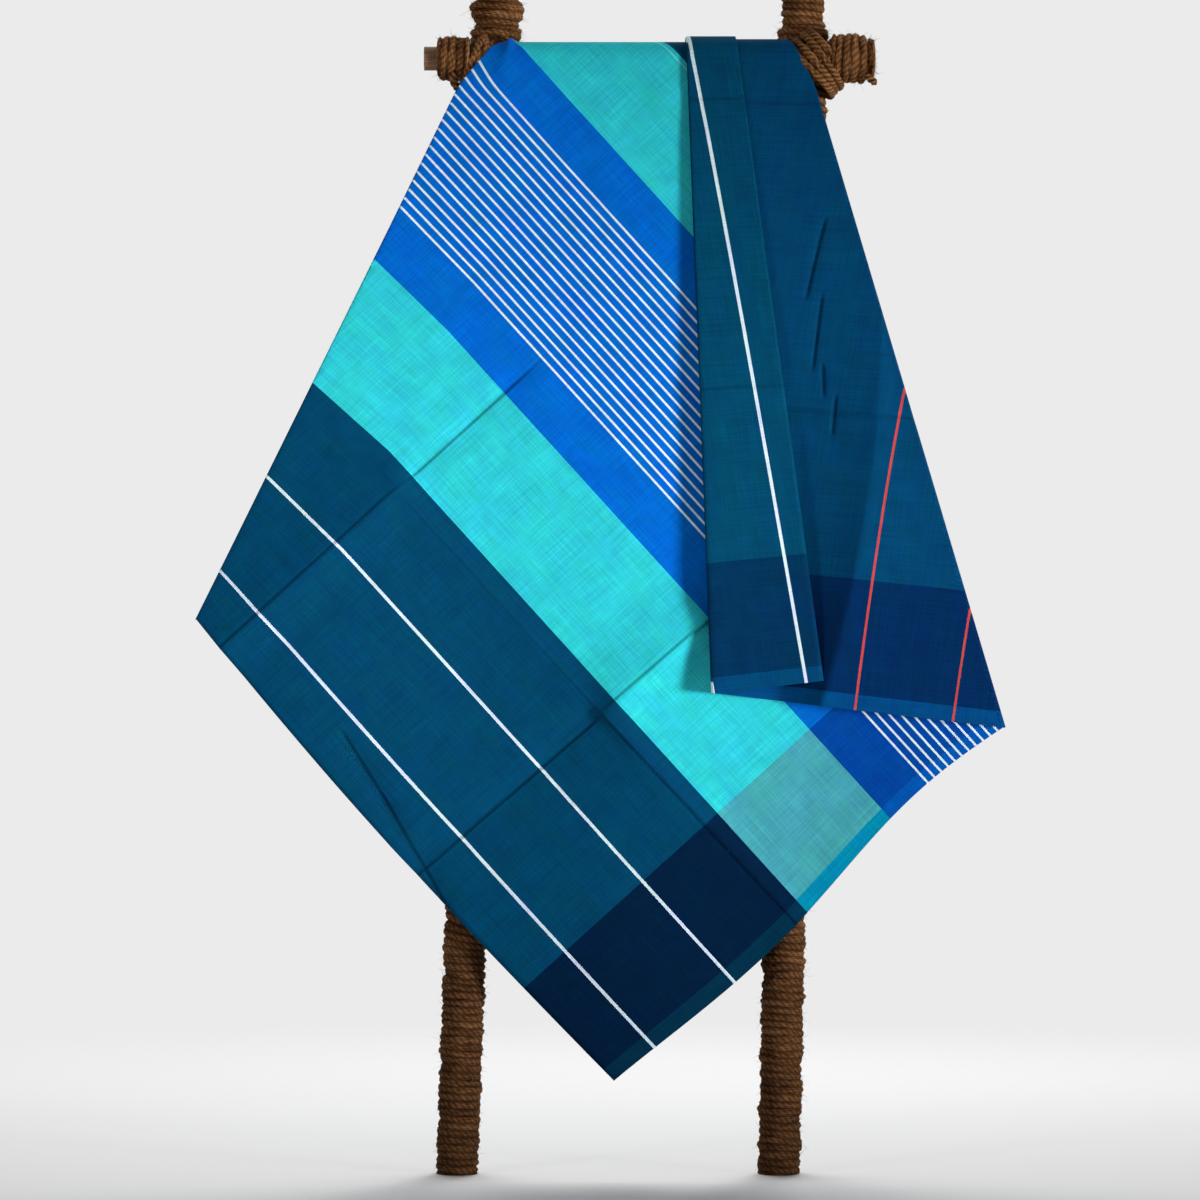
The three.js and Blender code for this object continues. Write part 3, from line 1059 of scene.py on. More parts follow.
    def build(self, face: StripedCotton, reverse: StripedCotton) -> bpy.types.Object:
        """Make the tube's two plies, joined along both long edges and open at both hems.

        Args:
            face: finish of the ply that faces front on the main panel.
            reverse: finish of the other ply.

        Returns:
            The cloth.
        """
        middle, flat = self.surface()
        across = np.gradient(middle, axis=0)
        along = np.gradient(middle, axis=1)
        across = across / np.linalg.norm(across, axis=-1, keepdims=True)
        along = along / np.linalg.norm(along, axis=-1, keepdims=True)
        normal = np.cross(across, along)
        normal = normal / np.linalg.norm(normal, axis=-1, keepdims=True)
        columns, rows = middle.shape[:2]
        low, high = (np.array(corner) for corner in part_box("rung"))
        axis = (low + high) / 2.0
        shift = np.array([axis[0] - self.rung_middle_x * MM, axis[1], axis[2] - self.rung_height * MM])
        plies = [middle + side * self.ply_gap / 2.0 * normal for side in (1.0, -1.0)]
        points = np.concatenate([ply.reshape(-1, 3) for ply in plies]) * MM + shift
        count = columns * rows
        front = grid_faces(columns, rows)
        back = grid_faces(columns, rows, count)[:, ::-1]
        closed = self.columns_back + self.fold_steps + self.columns_edge
        foot = np.arange(closed) * rows
        near_edge = np.stack([foot, foot + count, foot + rows + count, foot + rows], axis=1)
        top = np.arange(columns - 1) * rows + rows - 1
        far_edge = np.stack([top, top + rows, top + rows + count, top + count], axis=1)
        side = (columns - 1) * rows + np.arange(rows - 1)
        free_edge = np.stack([side, side + count, side + 1 + count, side + 1], axis=1)
        faces = np.concatenate([front, near_edge, far_edge, free_edge, back])
        uv = np.concatenate([flat.reshape(-1, 2)] * 2) * MM
        cloth = mesh_object("sarong_cloth", points, faces, uv[faces.ravel()])
        cloth.data.materials.append(face.build())
        cloth.data.materials.append(reverse.build())
        is_reverse = np.arange(len(faces)) >= len(faces) - len(back)
        cloth.data.polygons.foreach_set("material_index", is_reverse.astype(np.int32))
        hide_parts("sarong")
        return cloth


@dataclass
class RopeWinding:
    """Rope wound in close turns round a straight core (millimetres, in the part's frame).

    foot and end are the core's axis; side and depth span its round section; shoulder rounds the ends. slant
    tips the turns near one place: where it is, half how far it reaches, and by how many turns.
    """

    name: str
    foot: np.ndarray
    end: np.ndarray
    side: tuple[float, float, float]
    depth: tuple[float, float, float]
    radius: float
    rope: float
    sides: int
    rows_per_turn: int
    shoulder: float = 0.0
    core_radius: float = 0.0
    valley: float = 0.32
    hump_width: float = 0.97
    strand_lay: float = 7.0
    strand_slant: float = 0.55
    strand_relief: float = 0.8
    unevenness: float = 1.2
    lumps_per_turn: int = 5
    gaps_per_turn: int = 17
    gap_range: tuple[float, float] = (0.25, 1.45)
    sway_rounds: tuple[int, ...] = (1, 2, 3)
    sway_size: tuple[float, float] = (0.03, 0.09)
    sway_pace: tuple[float, float] = (0.3, 1.4)
    wander: float = 0.6
    wander_lengths: tuple[float, ...] = (53.0, 31.0, 19.0)
    roughness: float = 0.26
    slant: tuple[float, float, float] = (0.0, 1.0, 0.0)
    level: float = 0.66
    valley_painted_shade: float = 0.62
    strand_painted_highlight: float = 0.2
    lump_painted_highlight: float = 0.06
    cap_level: float = 0.35
    fewest_rows: int = 6
    spare_turns: int = 4
    slot: str = "rope"
    seed: int = SEED

    def surface(self) -> tuple[np.ndarray, np.ndarray, np.ndarray, np.ndarray]:
        """Wind the rope: each turn is a half-round hump across, ribbed slantwise by its strands.

        The turn count is height / rope + angle / 2 pi; its fraction is the place across the rope, and
        angle / 2 pi less its whole part is the place along it.

        Returns:
            Points, outward directions, a level from 0 to 1 for painted shade in the valleys and painted
            highlight on strands and lumps, and rope coordinates.
        """
        noise = np.random.default_rng(self.seed)
        span = float(np.linalg.norm(self.end - self.foot))
        turns = span / self.rope
        rows = max(self.fewest_rows, int(turns * self.rows_per_turn))
        share = np.linspace(0.0, 1.0, rows)[None, :]
        angle = np.linspace(0.0, 2.0 * math.pi, self.sides + 1)[:, None]
        sway = 0.0
        for rounds in self.sway_rounds:
            size = noise.uniform(*self.sway_size)
            pace = noise.uniform(*self.sway_pace)
            sway = sway + size * np.sin(rounds * angle + share * turns * pace + noise.uniform(*PHASES))
        slant_at, slant_half, slant_turns = self.slant
        near = np.clip(1.0 - np.abs(share * span - slant_at) / slant_half, 0.0, None)
        sway = sway + slant_turns * smooth(near, 0.0, 1.0) * np.cos(angle)
        count = share * turns + angle / (2.0 * math.pi) + sway
        whole = np.floor(count)
        across = 2.0 * (count - whole) - 1.0
        along = angle / (2.0 * math.pi) - whole
        hump = np.sqrt(np.clip(1.0 - self.hump_width * across**2, 0.0, None))
        place = along + turns + self.spare_turns / 2.0
        stock = int(turns + self.spare_turns)
        knots = noise.normal(0.0, 1.0, stock * self.lumps_per_turn)
        lumps = np.interp(place * self.lumps_per_turn, np.arange(len(knots)), knots)
        run = 2.0 * math.pi * self.radius * along
        strand = np.sin(2.0 * math.pi * (run / self.strand_lay + self.strand_slant * across))
        gaps = noise.uniform(*self.gap_range, stock * self.gaps_per_turn)
        gap = np.interp(place * self.gaps_per_turn, np.arange(len(gaps)), gaps)
        fuzz = noise.normal(0.0, self.roughness, (self.sides, rows))
        fuzz = np.concatenate([fuzz, fuzz[:1]])
        lift = self.rope * self.valley * gap * (hump - 1.0) + self.strand_relief * strand * hump
        radius = self.radius + lift + self.unevenness / 2.0 * lumps * hump + fuzz
        for wave in self.wander_lengths:
            bend = 2.0 * math.pi * share * span / wave + noise.uniform(*PHASES)
            radius = radius + self.wander * np.sin(bend + np.cos(angle + noise.uniform(*PHASES)))
        if self.shoulder > 0.0:
            from_end = np.minimum(share, 1.0 - share) * span
            inward = 1.0 - np.clip(from_end / self.shoulder, 0.0, 1.0)
            round_off = np.sqrt(np.clip(1.0 - inward**2, 0.0, 1.0))
            radius = self.core_radius + (radius - self.core_radius) * round_off
        sideways, deep = np.array(self.side), np.array(self.depth)
        outward = np.cos(angle)[..., None] * sideways + np.sin(angle)[..., None] * deep
        points = mix(self.foot, self.end, share[..., None]) + radius[..., None] * outward
        # Painted light and shade: dark in the valleys between turns, pale on strand crests and on lumps.
        painted_shading = self.strand_painted_highlight * strand * hump + self.lump_painted_highlight * lumps
        rise = np.clip(self.level - self.valley_painted_shade * gap * (1.0 - hump) + painted_shading, 0.0, 1.0)
        lay = np.stack([run, self.rope * (across + 2.0 * whole) / 2.0], axis=-1)
        return points, np.broadcast_to(outward, points.shape), rise, lay

    def build(self, finish: bpy.types.Material, nodes: tuple[str, ...]) -> bpy.types.Object:
        """Make the winding with closed flat ends, in place of its plain solids.

        Args:
            finish: the rope's material.
            nodes: the solids that it stands for.

        Returns:
            The winding.
        """
        points, _, rise, lay = self.surface()
        columns, rows = rise.shape
        ring = columns - 1
        faces = grid_faces(columns, rows)
        corners = lay.reshape(-1, 2)[faces.ravel()] * MM
        wall = points[:-1].reshape(-1, 3)
        rims = points[:-1, 0], points[:-1, -1]
        hubs = np.stack([rim.mean(axis=0) for rim in rims])
        inner = [mix(hub, rim, 0.5) for hub, rim in zip(hubs, rims)]
        hub = len(wall)
        first = np.arange(ring) * rows
        following = np.roll(first, -1)
        half = hub + 2 + np.arange(ring)
        half_next = np.roll(half, -1)
        last = rows - 1
        caps = np.concatenate([
            np.stack([first, half, half_next, following], axis=1),
            np.stack([first + last, following + last, half_next + ring, half + ring], axis=1),
            cap_fan(hub, hub + 2, ring, True),
            cap_fan(hub + 1, hub + 2 + ring, ring, False),
        ])
        all_points = np.concatenate([wall, hubs, *inner]) * MM
        all_faces = np.concatenate([faces % (ring * rows), caps])
        uv = np.concatenate([corners, all_points[caps.ravel()][:, [0, 1]]])
        levels = np.concatenate([rise[:-1].ravel(), np.full(2 + 2 * ring, self.cap_level)])
        piece = mesh_object(self.name, all_points, all_faces, uv, {"rise": levels})
        piece.data.materials.append(finish)
        if nodes:
            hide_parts(*nodes)
        return piece


@dataclass
class RopeRun:
    """One laid rope of three strands along a path (millimetres, in the part's frame)."""

    points: np.ndarray
    across: np.ndarray
    closed: bool
    radius: float = 4.3
    sides: int = 16
    strands: int = 3
    lay: float = 17.0
    groove: float = 0.34
    lump: float = 0.06
    lump_count: int = 12
    taper: float = 3.0
    thinnest: float = 0.05
    groove_painted_shade_level: float = 0.1
    strand_painted_light_level: float = 0.75
    tip_level: float = 0.5
    seed: int = SEED

    def grid(self) -> tuple[np.ndarray, np.ndarray, np.ndarray, np.ndarray]:
        """Carry a three-lobed round along the path, turned once in each lay.

        The radius is r (1 - groove (1 - |cos 1.5 psi|)), where psi is the angle round plus 2 pi run / lay.

        Returns:
            Points, quads, a level from 0 to 1 for painted shade in the grooves and painted light on the
            strands, and each corner's place along and round.
        """
        noise = np.random.default_rng(self.seed)
        path = np.concatenate([self.points, self.points[:1]]) if self.closed else self.points
        steps = np.linalg.norm(np.diff(path, axis=0), axis=1)
        run = np.concatenate([[0.0], np.cumsum(steps)])
        tangent = np.gradient(path, axis=0)
        tangent = tangent / np.linalg.norm(tangent, axis=1, keepdims=True)
        if self.closed:
            tangent[-1] = tangent[0]
        side = self.across - (tangent @ self.across)[:, None] * tangent
        side = side / np.linalg.norm(side, axis=1, keepdims=True)
        up = np.cross(tangent, side)
        turns = max(1.0, round(run[-1] / self.lay))
        angle = np.linspace(0.0, 2.0 * math.pi, self.sides + 1)[None, :]
        psi = angle + 2.0 * math.pi * (run / run[-1] * turns)[:, None]
        lobe = np.abs(np.cos(self.strands / 2.0 * psi))
        heights = noise.normal(0.0, self.lump, self.lump_count)
        heights[-1] = heights[0]
        lumps = np.interp(run, np.linspace(0.0, run[-1], self.lump_count), heights)[:, None]
        from_tip = np.minimum(run, run[-1] - run)[:, None] / self.taper
        thin = 1.0 if self.closed else np.sqrt(np.clip(from_tip, self.thinnest, 1.0))
        radius = self.radius * thin * (1.0 + lumps - self.groove * (1.0 - lobe))
        ring = np.cos(angle)[..., None] * side[:, None] + np.sin(angle)[..., None] * up[:, None]
        points = path[:, None] + radius[..., None] * ring
        # Painted shade in the grooves between strands, painted light on the strands.
        rise = np.clip(self.groove_painted_shade_level + self.strand_painted_light_level * lobe + lumps, 0.0, 1.0)
        lay = np.stack(np.broadcast_arrays(run[:, None], angle * self.radius), axis=-1)
        faces = grid_faces(len(path), self.sides + 1)[:, ::-1]
        corners = lay.reshape(-1, 2)[faces.ravel()]
        columns = len(path) - 1 if self.closed else len(path)
        column, row = np.divmod(faces, self.sides + 1)
        faces = column % columns * self.sides + row % self.sides
        points = points[:columns, : self.sides].reshape(-1, 3)
        rise = rise[:columns, : self.sides].ravel()
        if self.closed:
            return points, faces, rise, corners
        hub = len(points)
        caps = np.concatenate([
            cap_fan(hub, 0, self.sides, True),
            cap_fan(hub + 1, (columns - 1) * self.sides, self.sides, False),
        ])
        points = np.concatenate([points, path[[0, -1]]])
        corners = np.concatenate([corners, np.zeros((caps.size, 2))])
        return points, np.concatenate([faces, caps]), np.append(rise, [self.tip_level] * 2), corners


@dataclass
class CoirFibres:
    """Loose fibres that stand off the windings: thin three-sided hairs on bowed paths (millimetres)."""

    length: tuple[float, float] = (4.0, 15.0)
    shortened: tuple[float, float] = (0.3, 1.0)
    lean: tuple[float, float] = (0.1, 0.75)
    bow: float = 0.25
    slack: float = 0.4
    root_depth: float = 0.6
    thickness: float = 0.42
    tip_thinning: float = 0.75
    shades: tuple[float, float] = (0.35, 1.0)
    rings: int = 4
    sides: int = 3
    seed: int = SEED + 4

    def build(
        self, windings: list[tuple[RopeWinding, int]], finish: bpy.types.Material
    ) -> bpy.types.Object:
        """Root hairs at random on the windings and bow them outward, thinning to the tip.

        With t from 0 at the root to 1, the path is root + length (t (1 - slack t) tangent + lean t outward
        + t^2 bow).

        Args:
            windings: each winding with its number of hairs.
            finish: the rope's material.

        Returns:
            All hairs as one joined mesh.
        """
        noise = np.random.default_rng(self.seed)
        roots, outs = [], []
        for winding, count in windings:
            points, outward, _, _ = winding.surface()
            column = noise.integers(0, points.shape[0], count)
            row = noise.integers(0, points.shape[1], count)
            roots.append(points[column, row])
            outs.append(outward[column, row])
        root = np.concatenate(roots)
        out = np.concatenate(outs)
        size = len(root)
        stray = noise.normal(0.0, 1.0, (size, 3))
        tangent = stray - (stray * out).sum(axis=1, keepdims=True) * out
        tangent = tangent / np.linalg.norm(tangent, axis=1, keepdims=True)
        long = noise.uniform(*self.length, (size, 1)) * noise.uniform(*self.shortened, (size, 1))
        lean = noise.uniform(*self.lean, (size, 1))
        step = np.linspace(0.0, 1.0, self.rings)[None, :, None]
        bow = noise.normal(0.0, self.bow, (size, 1, 3))
        reach = step * tangent[:, None] * (1.0 - self.slack * step)
        reach = reach + lean[:, None] * step * out[:, None] + bow * step**2
        path = root[:, None] - self.root_depth * out[:, None] + long[:, None] * reach
        cross = np.cross(tangent, out)
        thin = self.thickness / 2.0 * (1.0 - self.tip_thinning * step)
        turn = (np.arange(self.sides) * 2.0 * math.pi / self.sides)[None, :, None]
        around = np.cos(turn) * cross[:, None] + np.sin(turn) * out[:, None]
        points = path[:, :, None] + thin[..., None] * around[:, None]
        points[..., 2] = np.maximum(points[..., 2], 0.0)
        level, corner = np.meshgrid(np.arange(self.rings - 1), np.arange(self.sides), indexing="ij")
        first = (level * self.sides + corner).ravel()
        beside = (level * self.sides + (corner + 1) % self.sides).ravel()
        quad = np.stack([first, first + self.sides, beside + self.sides, beside], axis=1)
        per_hair = self.rings * self.sides
        faces = (np.arange(size)[:, None, None] * per_hair + quad[None]).reshape(-1, 4)
        flat_points = points.reshape(-1, 3) * MM
        rise = np.repeat(noise.uniform(*self.shades, size), per_hair)
        uv = flat_points[faces.ravel()][:, [0, 2]]
        piece = mesh_object("coir_fibres", flat_points, faces, uv, {"rise": rise})
        piece.data.materials.append(finish)
        return piece


@dataclass(frozen=True)
class Crossing:
    """Diagonal turns where the rung crosses a pole.

    outward is how far outside the pole their middle lies, half_run half their length in the front view, and
    each turn has a slant in degrees, a shift sideways and a depth under the others.
    """

    side: str
    outward: float
    half_run: float
    turns: tuple[tuple[float, float, float], ...]


@dataclass(frozen=True)
class Tail:
    """One short loose rope end that leaves a ring of the rung.

    It starts at a share of the ring's length, offset from its lower front edge, and bows along its reach.
    """

    radius: float
    ring: str
    share: float
    offset: tuple[float, float, float]
    reach: tuple[float, float, float]
    bow: tuple[float, float, float]
    seed: int


@dataclass
class Rack:
    """The two rope-wound poles, the bare rung across their fronts and the lashings (millimetres)."""

    pole_radius: float = 22.0
    pole_rope: float = 7.6
    pole_sides: int = 82
    pole_rows: int = 7
    pole_slants: dict = field(
        default_factory=lambda: {"left": (285.0, 70.0, 0.9), "right": (330.0, 60.0, -0.7)}
    )
    band_rope: float = 8.6
    band_radius: float = 26.5
    band_rows: int = 9
    band_shoulder: float = 4.0
    band_sunk: float = 2.0
    ring_rope: float = 8.4
    ring_rows: int = 10
    ring_shoulder: float = 4.5
    ring_core: float = 11.0
    lashing_sides: int = 84
    top_span: tuple[float, float] = (1214.0, 1237.0)
    top_radius: float = 27.5
    top_shoulder: float = 5.0
    top_unevenness: float = 2.4
    join_sides: int = 72
    join_shoulder: float = 3.5
    join_unevenness: float = 2.0
    join_overlap: float = 1.0
    join_left: tuple[float, float] = (21.0, 21.0)
    join_right: tuple[float, float] = (24.0, 19.5)
    end_right: tuple[float, float] = (2.0, 21.5)
    hairs_per_pole: int = 3900
    hairs_per_band: int = 260
    cross_rope: float = 4.3
    cross_fullness: float = 2.6
    cross_steps: int = 96
    cross_drop: float = 3.0
    cross_ahead: float = 5.5
    cross_behind: float = 1.0
    tail_steps: int = 16
    band_seed: int = SEED + 20
    ring_seed: int = SEED + 40
    join_seed: int = SEED + 60
    top_seed: int = SEED + 66
    cross_seed: int = SEED + 70
    loose_ends: tuple[Tail, ...] = (
        Tail(
            4.6, "lashing_left_rung", 0.5, (1.0, 8.0, 8.0), (5.0, -2.0, -20.0),
            (-3.0, 0.0, 0.0), SEED + 91,
        ),
        Tail(
            4.2, "lashing_right_rung", 1.0, (-4.0, 8.0, 7.0), (11.0, -3.0, -11.0),
            (4.0, 0.0, -3.0), SEED + 92,
        ),
    )
    crossings: tuple[Crossing, ...] = (
        Crossing("left", -17.0, 27.0, ((60.0, -5.0, 0.0), (65.0, 4.0, 0.0))),
        Crossing("right", 17.0, 33.0, (
            (50.0, -6.0, 5.0), (46.0, 4.0, 5.0), (-44.0, -14.0, 0.0), (-50.0, -5.0, 0.0),
            (-53.0, 4.5, 0.0), (-48.0, 13.5, 0.5),
        )),
    )

    def on_pole(
        self, name: str, middle: np.ndarray, span: tuple[float, float], **sizes: float
    ) -> RopeWinding:
        """Wind a lashing round a pole.

        Args:
            name: the piece's name.
            middle: a point on its axis.
            span: its lower and upper height.
            sizes: the winding's other sizes.

        Returns:
            The winding.
        """
        foot, end = (np.array([middle[0], middle[1], height]) for height in span)
        return RopeWinding(
            name, foot, end, SIDEWAYS, BACKWARD, rope=self.band_rope, sides=self.lashing_sides,
            rows_per_turn=self.band_rows, core_radius=self.pole_radius - self.band_sunk, **sizes,
        )

    def on_rung(
        self, name: str, middle: np.ndarray, span: tuple[float, float], **sizes: float
    ) -> RopeWinding:
        """Wind a lashing round the rung.

        Args:
            name: the piece's name.
            middle: a point on its axis.
            span: where it starts and stops along x.
            sizes: the winding's other sizes.

        Returns:
            The winding.
        """
        foot, end = (np.array([x, middle[1], middle[2]]) for x in span)
        return RopeWinding(
            name, foot, end, BACKWARD, UPWARD, rope=self.ring_rope, rows_per_turn=self.ring_rows,
            core_radius=self.ring_core, **sizes,
        )

    def windings(self) -> list[tuple[RopeWinding, tuple[str, ...], int]]:
        """Read each core's place from the frame and lay its winding on it.

        Returns:
            Each winding, the solids it stands for and its number of loose hairs.
        """
        result = []
        inset = np.array([self.pole_radius, self.pole_radius, 0.0])
        for number, side in enumerate(("left", "right")):
            low, high = box_mm(f"upright_{side}")
            pole = RopeWinding(
                f"wound_pole_{side}", low + inset, high - inset, SIDEWAYS, BACKWARD, self.pole_radius,
                self.pole_rope, self.pole_sides, self.pole_rows, slot="wound_pole", seed=SEED + number,
                slant=self.pole_slants[side],
            )
            result.append((pole, (f"upright_{side}",), self.hairs_per_pole))
            for place in ("above", "below"):
                node = f"lashing_{side}_{place}"
                low, high = box_mm(node)
                band = self.on_pole(
                    f"lashing_band_{side}_{place}", (low + high) / 2.0, (low[2], high[2]),
                    radius=self.band_radius, shoulder=self.band_shoulder, seed=self.band_seed + number,
                )
                result.append((band, (node,), self.hairs_per_band))
            node = f"lashing_{side}_rung"
            low, high = box_mm(node)
            ring = self.on_rung(
                f"lashing_ring_{side}", (low + high) / 2.0, (low[0], high[0]),
                radius=(high[2] - low[2]) / 2.0, sides=self.lashing_sides,
                shoulder=self.ring_shoulder, seed=self.ring_seed + number,
            )
            result.append((ring, (node,), self.hairs_per_band))
        return result

    def joining_turns(self) -> list[RopeWinding]:
        """Wind turns at the left pole's top, between the rung's rings and the poles, and on its right end.

        Returns:
            The windings, the top one first.
        """
        low, high = box_mm("upright_left")
        share = sum(self.top_span) / 2.0 / high[2]
        inset = np.array([self.pole_radius, self.pole_radius, 0.0])
        top = self.on_pole(
            "lashing_top_left", mix(low + inset, high - inset, share), self.top_span,
            radius=self.top_radius, shoulder=self.top_shoulder, unevenness=self.top_unevenness,
            seed=self.top_seed,
        )
        low, high = box_mm("rung")
        left = box_mm("lashing_left_rung")
        right = box_mm("lashing_right_rung")
        pole = box_mm("lashing_right_below")
        over = self.join_overlap
        spans = (
            ("lashing_join_left", left[1][0] - over, left[1][0] + self.join_left[0], self.join_left[1]),
            ("lashing_join_right", pole[1][0] - self.join_right[0], right[0][0] + over, self.join_right[1]),
            ("lashing_end_right", right[1][0] - over, high[0] + self.end_right[0], self.end_right[1]),
        )
        turns = [
            self.on_rung(
                name, (low + high) / 2.0, (start, stop), radius=radius, sides=self.join_sides,
                shoulder=self.join_shoulder, unevenness=self.join_unevenness, seed=self.join_seed + number,
            )
            for number, (name, start, stop, radius) in enumerate(spans)
        ]
        return [top, *turns]

    def crossing(self, crossing: Crossing) -> list[RopeRun]:
        """Diagonal turns round the rung and a pole: superellipses in planes slanted in the front view.

        Args:
            crossing: the set of turns.

        Returns:
            One closed rope for each turn.
        """
        low, high = box_mm("rung")
        band = box_mm(f"lashing_{crossing.side}_below")
        front = low[1] - self.cross_ahead
        back = band[1][1] + self.cross_behind
        x = (band[0][0] + band[1][0]) / 2.0 + crossing.outward
        middle = np.array([x, (front + back) / 2.0, (low[2] + high[2]) / 2.0 - self.cross_drop])
        angle = np.linspace(0.0, 2.0 * math.pi, self.cross_steps + 1)[:-1]
        power = 2.0 / self.cross_fullness
        wide = np.sign(np.cos(angle)) * np.abs(np.cos(angle)) ** power
        deep = np.sign(np.sin(angle)) * np.abs(np.sin(angle)) ** power
        runs = []
        for number, (slant, shift, under) in enumerate(crossing.turns):
            along = np.array([math.cos(math.radians(slant)), 0.0, math.sin(math.radians(slant))])
            beside = np.array([-along[2], 0.0, along[0]])
            reach = (crossing.half_run - under) * wide
            depth = ((back - front) / 2.0 - under) * deep
            points = middle + shift * beside + reach[:, None] * along + depth[:, None] * np.array(BACKWARD)
            runs.append(RopeRun(points, beside, True, self.cross_rope, seed=self.cross_seed + number))
        return runs

    def tails(self) -> list[RopeRun]:
        """Lay the short loose rope ends: one under the left ring and one at the rung's right-hand end.

        Returns:
            One open rope for each end.
        """
        share = np.linspace(0.0, 1.0, self.tail_steps)[:, None]
        runs = []
        for tail in self.loose_ends:
            low, high = box_mm(tail.ring)
            root = low + tail.share * (high - low) * np.array(SIDEWAYS) + np.array(tail.offset)
            path = root + share * np.array(tail.reach) + np.sin(math.pi * share) * np.array(tail.bow)
            runs.append(RopeRun(path, np.array(BACKWARD), False, tail.radius, seed=tail.seed))
        return runs

    def lay_ropes(self, finish: bpy.types.Material) -> bpy.types.Object:
        """Join all laid ropes into one mesh.

        Args:
            finish: the rope's material.

        Returns:
            The joined ropes.
        """
        runs = self.tails()
        for crossing in self.crossings:
            runs += self.crossing(crossing)
        points, faces, rises, corners = [], [], [], []
        start = 0
        for run in runs:
            spots, quads, rise, lay = run.grid()
            points.append(spots)
            faces.append(quads + start)
            rises.append(rise)
            corners.append(lay)
            start += len(spots)
        piece = mesh_object(
            "lashing_crossings", np.concatenate(points) * MM, np.concatenate(faces),
            np.concatenate(corners) * MM, {"rise": np.concatenate(rises)},
        )
        piece.data.materials.append(finish)
        return piece

    def build(self, rope: CoirRope, wood: WeatheredRod) -> None:
        """Make all windings and their loose fibres, and dress the bare rung.

        Args:
            rope: finish of the windings.
            wood: finish of the rung.
        """
        material = rope.build()
        windings = self.windings()
        for winding, nodes, _ in windings:
            report(winding.build(material, nodes))
        joins = self.joining_turns()
        for winding in joins:
            report(winding.build(material, ()))
        report(self.lay_ropes(material))
        clear_of_cloth = [winding for winding in joins if winding.name != "lashing_join_left"]
        haired = [(winding, count) for winding, _, count in windings]
        haired += [(winding, self.hairs_per_band) for winding in clear_of_cloth]
        report(CoirFibres().build(haired, material))
        rung = bpy.data.objects["rung"]
        rung.data.materials.clear()
        rung.data.materials.append(wood.build())


@dataclass(frozen=True)
class Softbox:
    """One square soft light: its place, its aim, its side, its watts and its spread in degrees."""

    name: str
    place: tuple[float, float, float]
    aim: tuple[float, float, float]
    size: float
    power: float
    spread: float = 180.0

    def build(self) -> None:
        """Hang the light so that it faces its aim."""
        lamp = bpy.data.lights.new(self.name, "AREA")
        lamp.size = self.size
        lamp.spread = math.radians(self.spread)
        lamp.energy = self.power
        holder = bpy.data.objects.new(self.name, lamp)
        holder.location = self.place
        toward = np.array(self.aim) - np.array(self.place)
        tilt = math.atan2(math.hypot(toward[0], toward[1]), -toward[2])
        holder.rotation_euler = (tilt, 0.0, math.atan2(toward[1], toward[0]) - math.pi / 2.0)
        bpy.context.scene.collection.objects.link(holder)


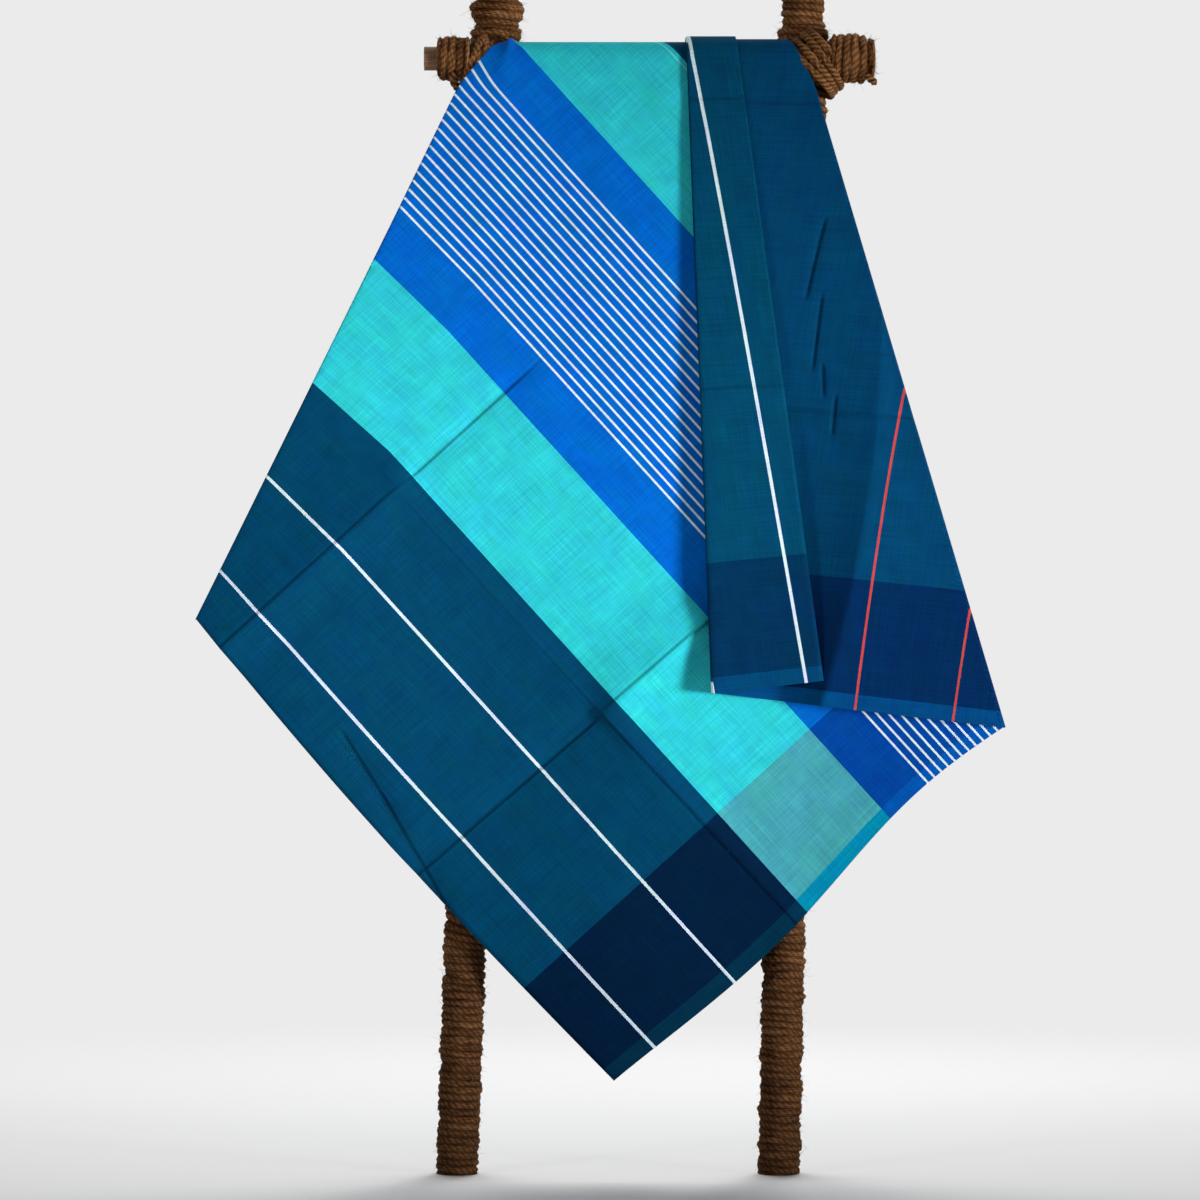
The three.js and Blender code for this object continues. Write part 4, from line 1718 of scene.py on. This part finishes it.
@dataclass
class Studio:
    """Camera, pale paper floor that fades into a pale surround, and soft lights (metres)."""

    view_width: float = 1.26
    view_centre: tuple[float, float] = (0.0, 0.604)
    distance: float = 5.0
    sensor: float = 36.0
    clip_end: float = 100.0
    paper: str = "#F4F4F4"
    paper_roughness: float = 0.95
    surround: str = "#EBEBEB"
    air: str = "#FFFFFF"
    air_strength: float = 0.12
    floor_half: float = 2.0
    floor_fade: tuple[float, float] = (0.7, 1.9)
    lights: tuple[Softbox, ...] = (
        Softbox("key_softbox", (3.4, -2.3, 0.4), (-0.1, 0.0, 0.66), 1.0, 8.1, 25.0),
        Softbox("side_softbox", (-2.8, -2.6, 0.7), (-0.3, 0.0, 0.64), 0.8, 2.1, 27.0),
        Softbox("fill_softbox", (0.6, -4.6, 1.4), (0.0, 0.0, 0.6), 2.0, 12.0),
        Softbox("floor_softbox", (0.0, 1.5, 2.8), (0.0, 0.4, 0.0), 2.4, 68.0),
        Softbox("back_softbox", (1.2, 4.2, 1.5), (0.0, 0.0, 0.6), 2.0, 90.0),
    )

    def build(self) -> None:
        """Set up the floor, the surround, the lights and the camera."""
        self._floor()
        self._surround()
        for light in self.lights:
            light.build()
        lens = bpy.data.cameras.new("camera")
        lens.sensor_width = self.sensor
        lens.lens = self.sensor * self.distance / self.view_width
        lens.clip_end = self.clip_end
        camera = bpy.data.objects.new("camera", lens)
        camera.location = (self.view_centre[0], -self.distance, self.view_centre[1])
        camera.rotation_euler = (math.pi / 2.0, 0.0, 0.0)
        scene = bpy.context.scene
        scene.collection.objects.link(camera)
        scene.camera = camera
        scene.view_settings.view_transform = "Standard"

    def _surround(self) -> None:
        """Show a pale surround, and light the part from it more dimly than it looks."""
        world = bpy.data.worlds.new("studio_air")
        bpy.context.scene.world = world
        world.use_nodes = True
        tree = world.node_tree
        air = tree.nodes["Background"]
        feed(tree, air, {"Color": linear(self.air), "Strength": self.air_strength})
        seen = add_node(tree, "Background", {"Color": linear(self.surround), "Strength": 1.0}).outputs[0]
        by_eye = add_node(tree, "LightPath").outputs["Is Camera Ray"]
        both = add_node(tree, "MixShader", {0: by_eye, 1: air.outputs[0], 2: seen}).outputs[0]
        feed(tree, tree.nodes["World Output"], {"Surface": both})

    def _floor(self) -> None:
        """Lay a square of matt paper whose rim fades out with distance from the part."""
        half = self.floor_half
        corners = [(-half, -half, 0), (half, -half, 0), (half, half, 0), (-half, half, 0)]
        mesh = bpy.data.meshes.new("paper_floor")
        mesh.from_pydata(corners, [], [(0, 1, 2, 3)])
        material, tree, shader = new_material("matt_paper")
        where = add_node(tree, "TexCoord").outputs["Object"]
        away = add_node(tree, "VectorMath", {0: where}, operation="LENGTH").outputs["Value"]
        feed(tree, shader, {
            "Alpha": remap(tree, away, self.floor_fade, (1.0, 0.0), "SMOOTHSTEP"),
            "Base Color": linear(self.paper),
            "Roughness": self.paper_roughness,
            "Specular IOR Level": 0.0,
        })
        mesh.materials.append(material)
        floor = bpy.data.objects.new("paper_floor", mesh)
        bpy.context.scene.collection.objects.link(floor)


TEAL = ("#003A59", "#001A36", "#002A42")
FAR_TEAL = ("#003C59", "#00294A", "#003A60")
TURQUOISE = ("#27AFB9", "#3C909B", "#007C9E")
ROYAL = ("#0059B2", "#003C8C", "#004A9A")
NAVY = ("#00385C", "#00234C", "#003B6C")
CHALK = "#BCCBD6"
BRICK = "#A83E3C"
SEAM = "#5FC4C8"
CHALK_WIDTH = 3.3
BRICK_WIDTH = 2.6
NEAR_CHALK_LINES = (54.6, 161.7)
FAR_CHALK_LINE = 857.0
EDGE_CHALK_LINE = 953.0
BRICK_LINES = (603.0, 707.0)
SEAM_LINE = Line(765.0, 1.3, SEAM)
PINS = PinStripes(451.0, 604.5, 9.03, 2.3, CHALK)
FACE_BANDS = (
    Band(0, *TEAL), Band(267, *TURQUOISE), Band(397, *ROYAL), Band(653, *TURQUOISE), Band(770, *FAR_TEAL),
)
REVERSE_BANDS = (Band(0, *TEAL), Band(200, *NAVY), Band(900, *TEAL))


def face_cotton(length: float, creases: tuple[Crease, ...]) -> StripedCotton:
    """Finish of the ply that faces front on the main panel: broad bands, pin stripes and chalk lines.

    Args:
        length: the cloth's length along the stripes.
        creases: its pressed folds.

    Returns:
        The finish.
    """
    middles = (*NEAR_CHALK_LINES, FAR_CHALK_LINE, EDGE_CHALK_LINE)
    chalk = tuple(Line(middle, CHALK_WIDTH, CHALK) for middle in middles)
    return StripedCotton("yarn_dyed_cotton_face", FACE_BANDS, (*chalk, SEAM_LINE), PINS, length, creases)


def reverse_cotton(length: float, creases: tuple[Crease, ...]) -> StripedCotton:
    """Finish of the other ply: one dark blue field between the edges, with brick-red lines.

    Args:
        length: the cloth's length along the stripes.
        creases: its pressed folds.

    Returns:
        The finish.
    """
    chalk = tuple(Line(middle, CHALK_WIDTH, CHALK) for middle in (*NEAR_CHALK_LINES, EDGE_CHALK_LINE))
    brick = tuple(Line(middle, BRICK_WIDTH, BRICK) for middle in BRICK_LINES)
    return StripedCotton("yarn_dyed_cotton_reverse", REVERSE_BANDS, (*chalk, *brick), None, length, creases)


def main() -> None:
    """Load the frame, dress it and set up the studio."""
    logging.basicConfig(level=logging.INFO)
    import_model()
    cloth = Sarong()
    face = face_cotton(cloth.length, cloth.creases)
    report(cloth.build(face, reverse_cotton(cloth.length, cloth.creases)))
    Rack().build(CoirRope("coir_rope"), WeatheredRod("weathered_wood"))
    Studio().build()


if __name__ == "__main__":
    main()
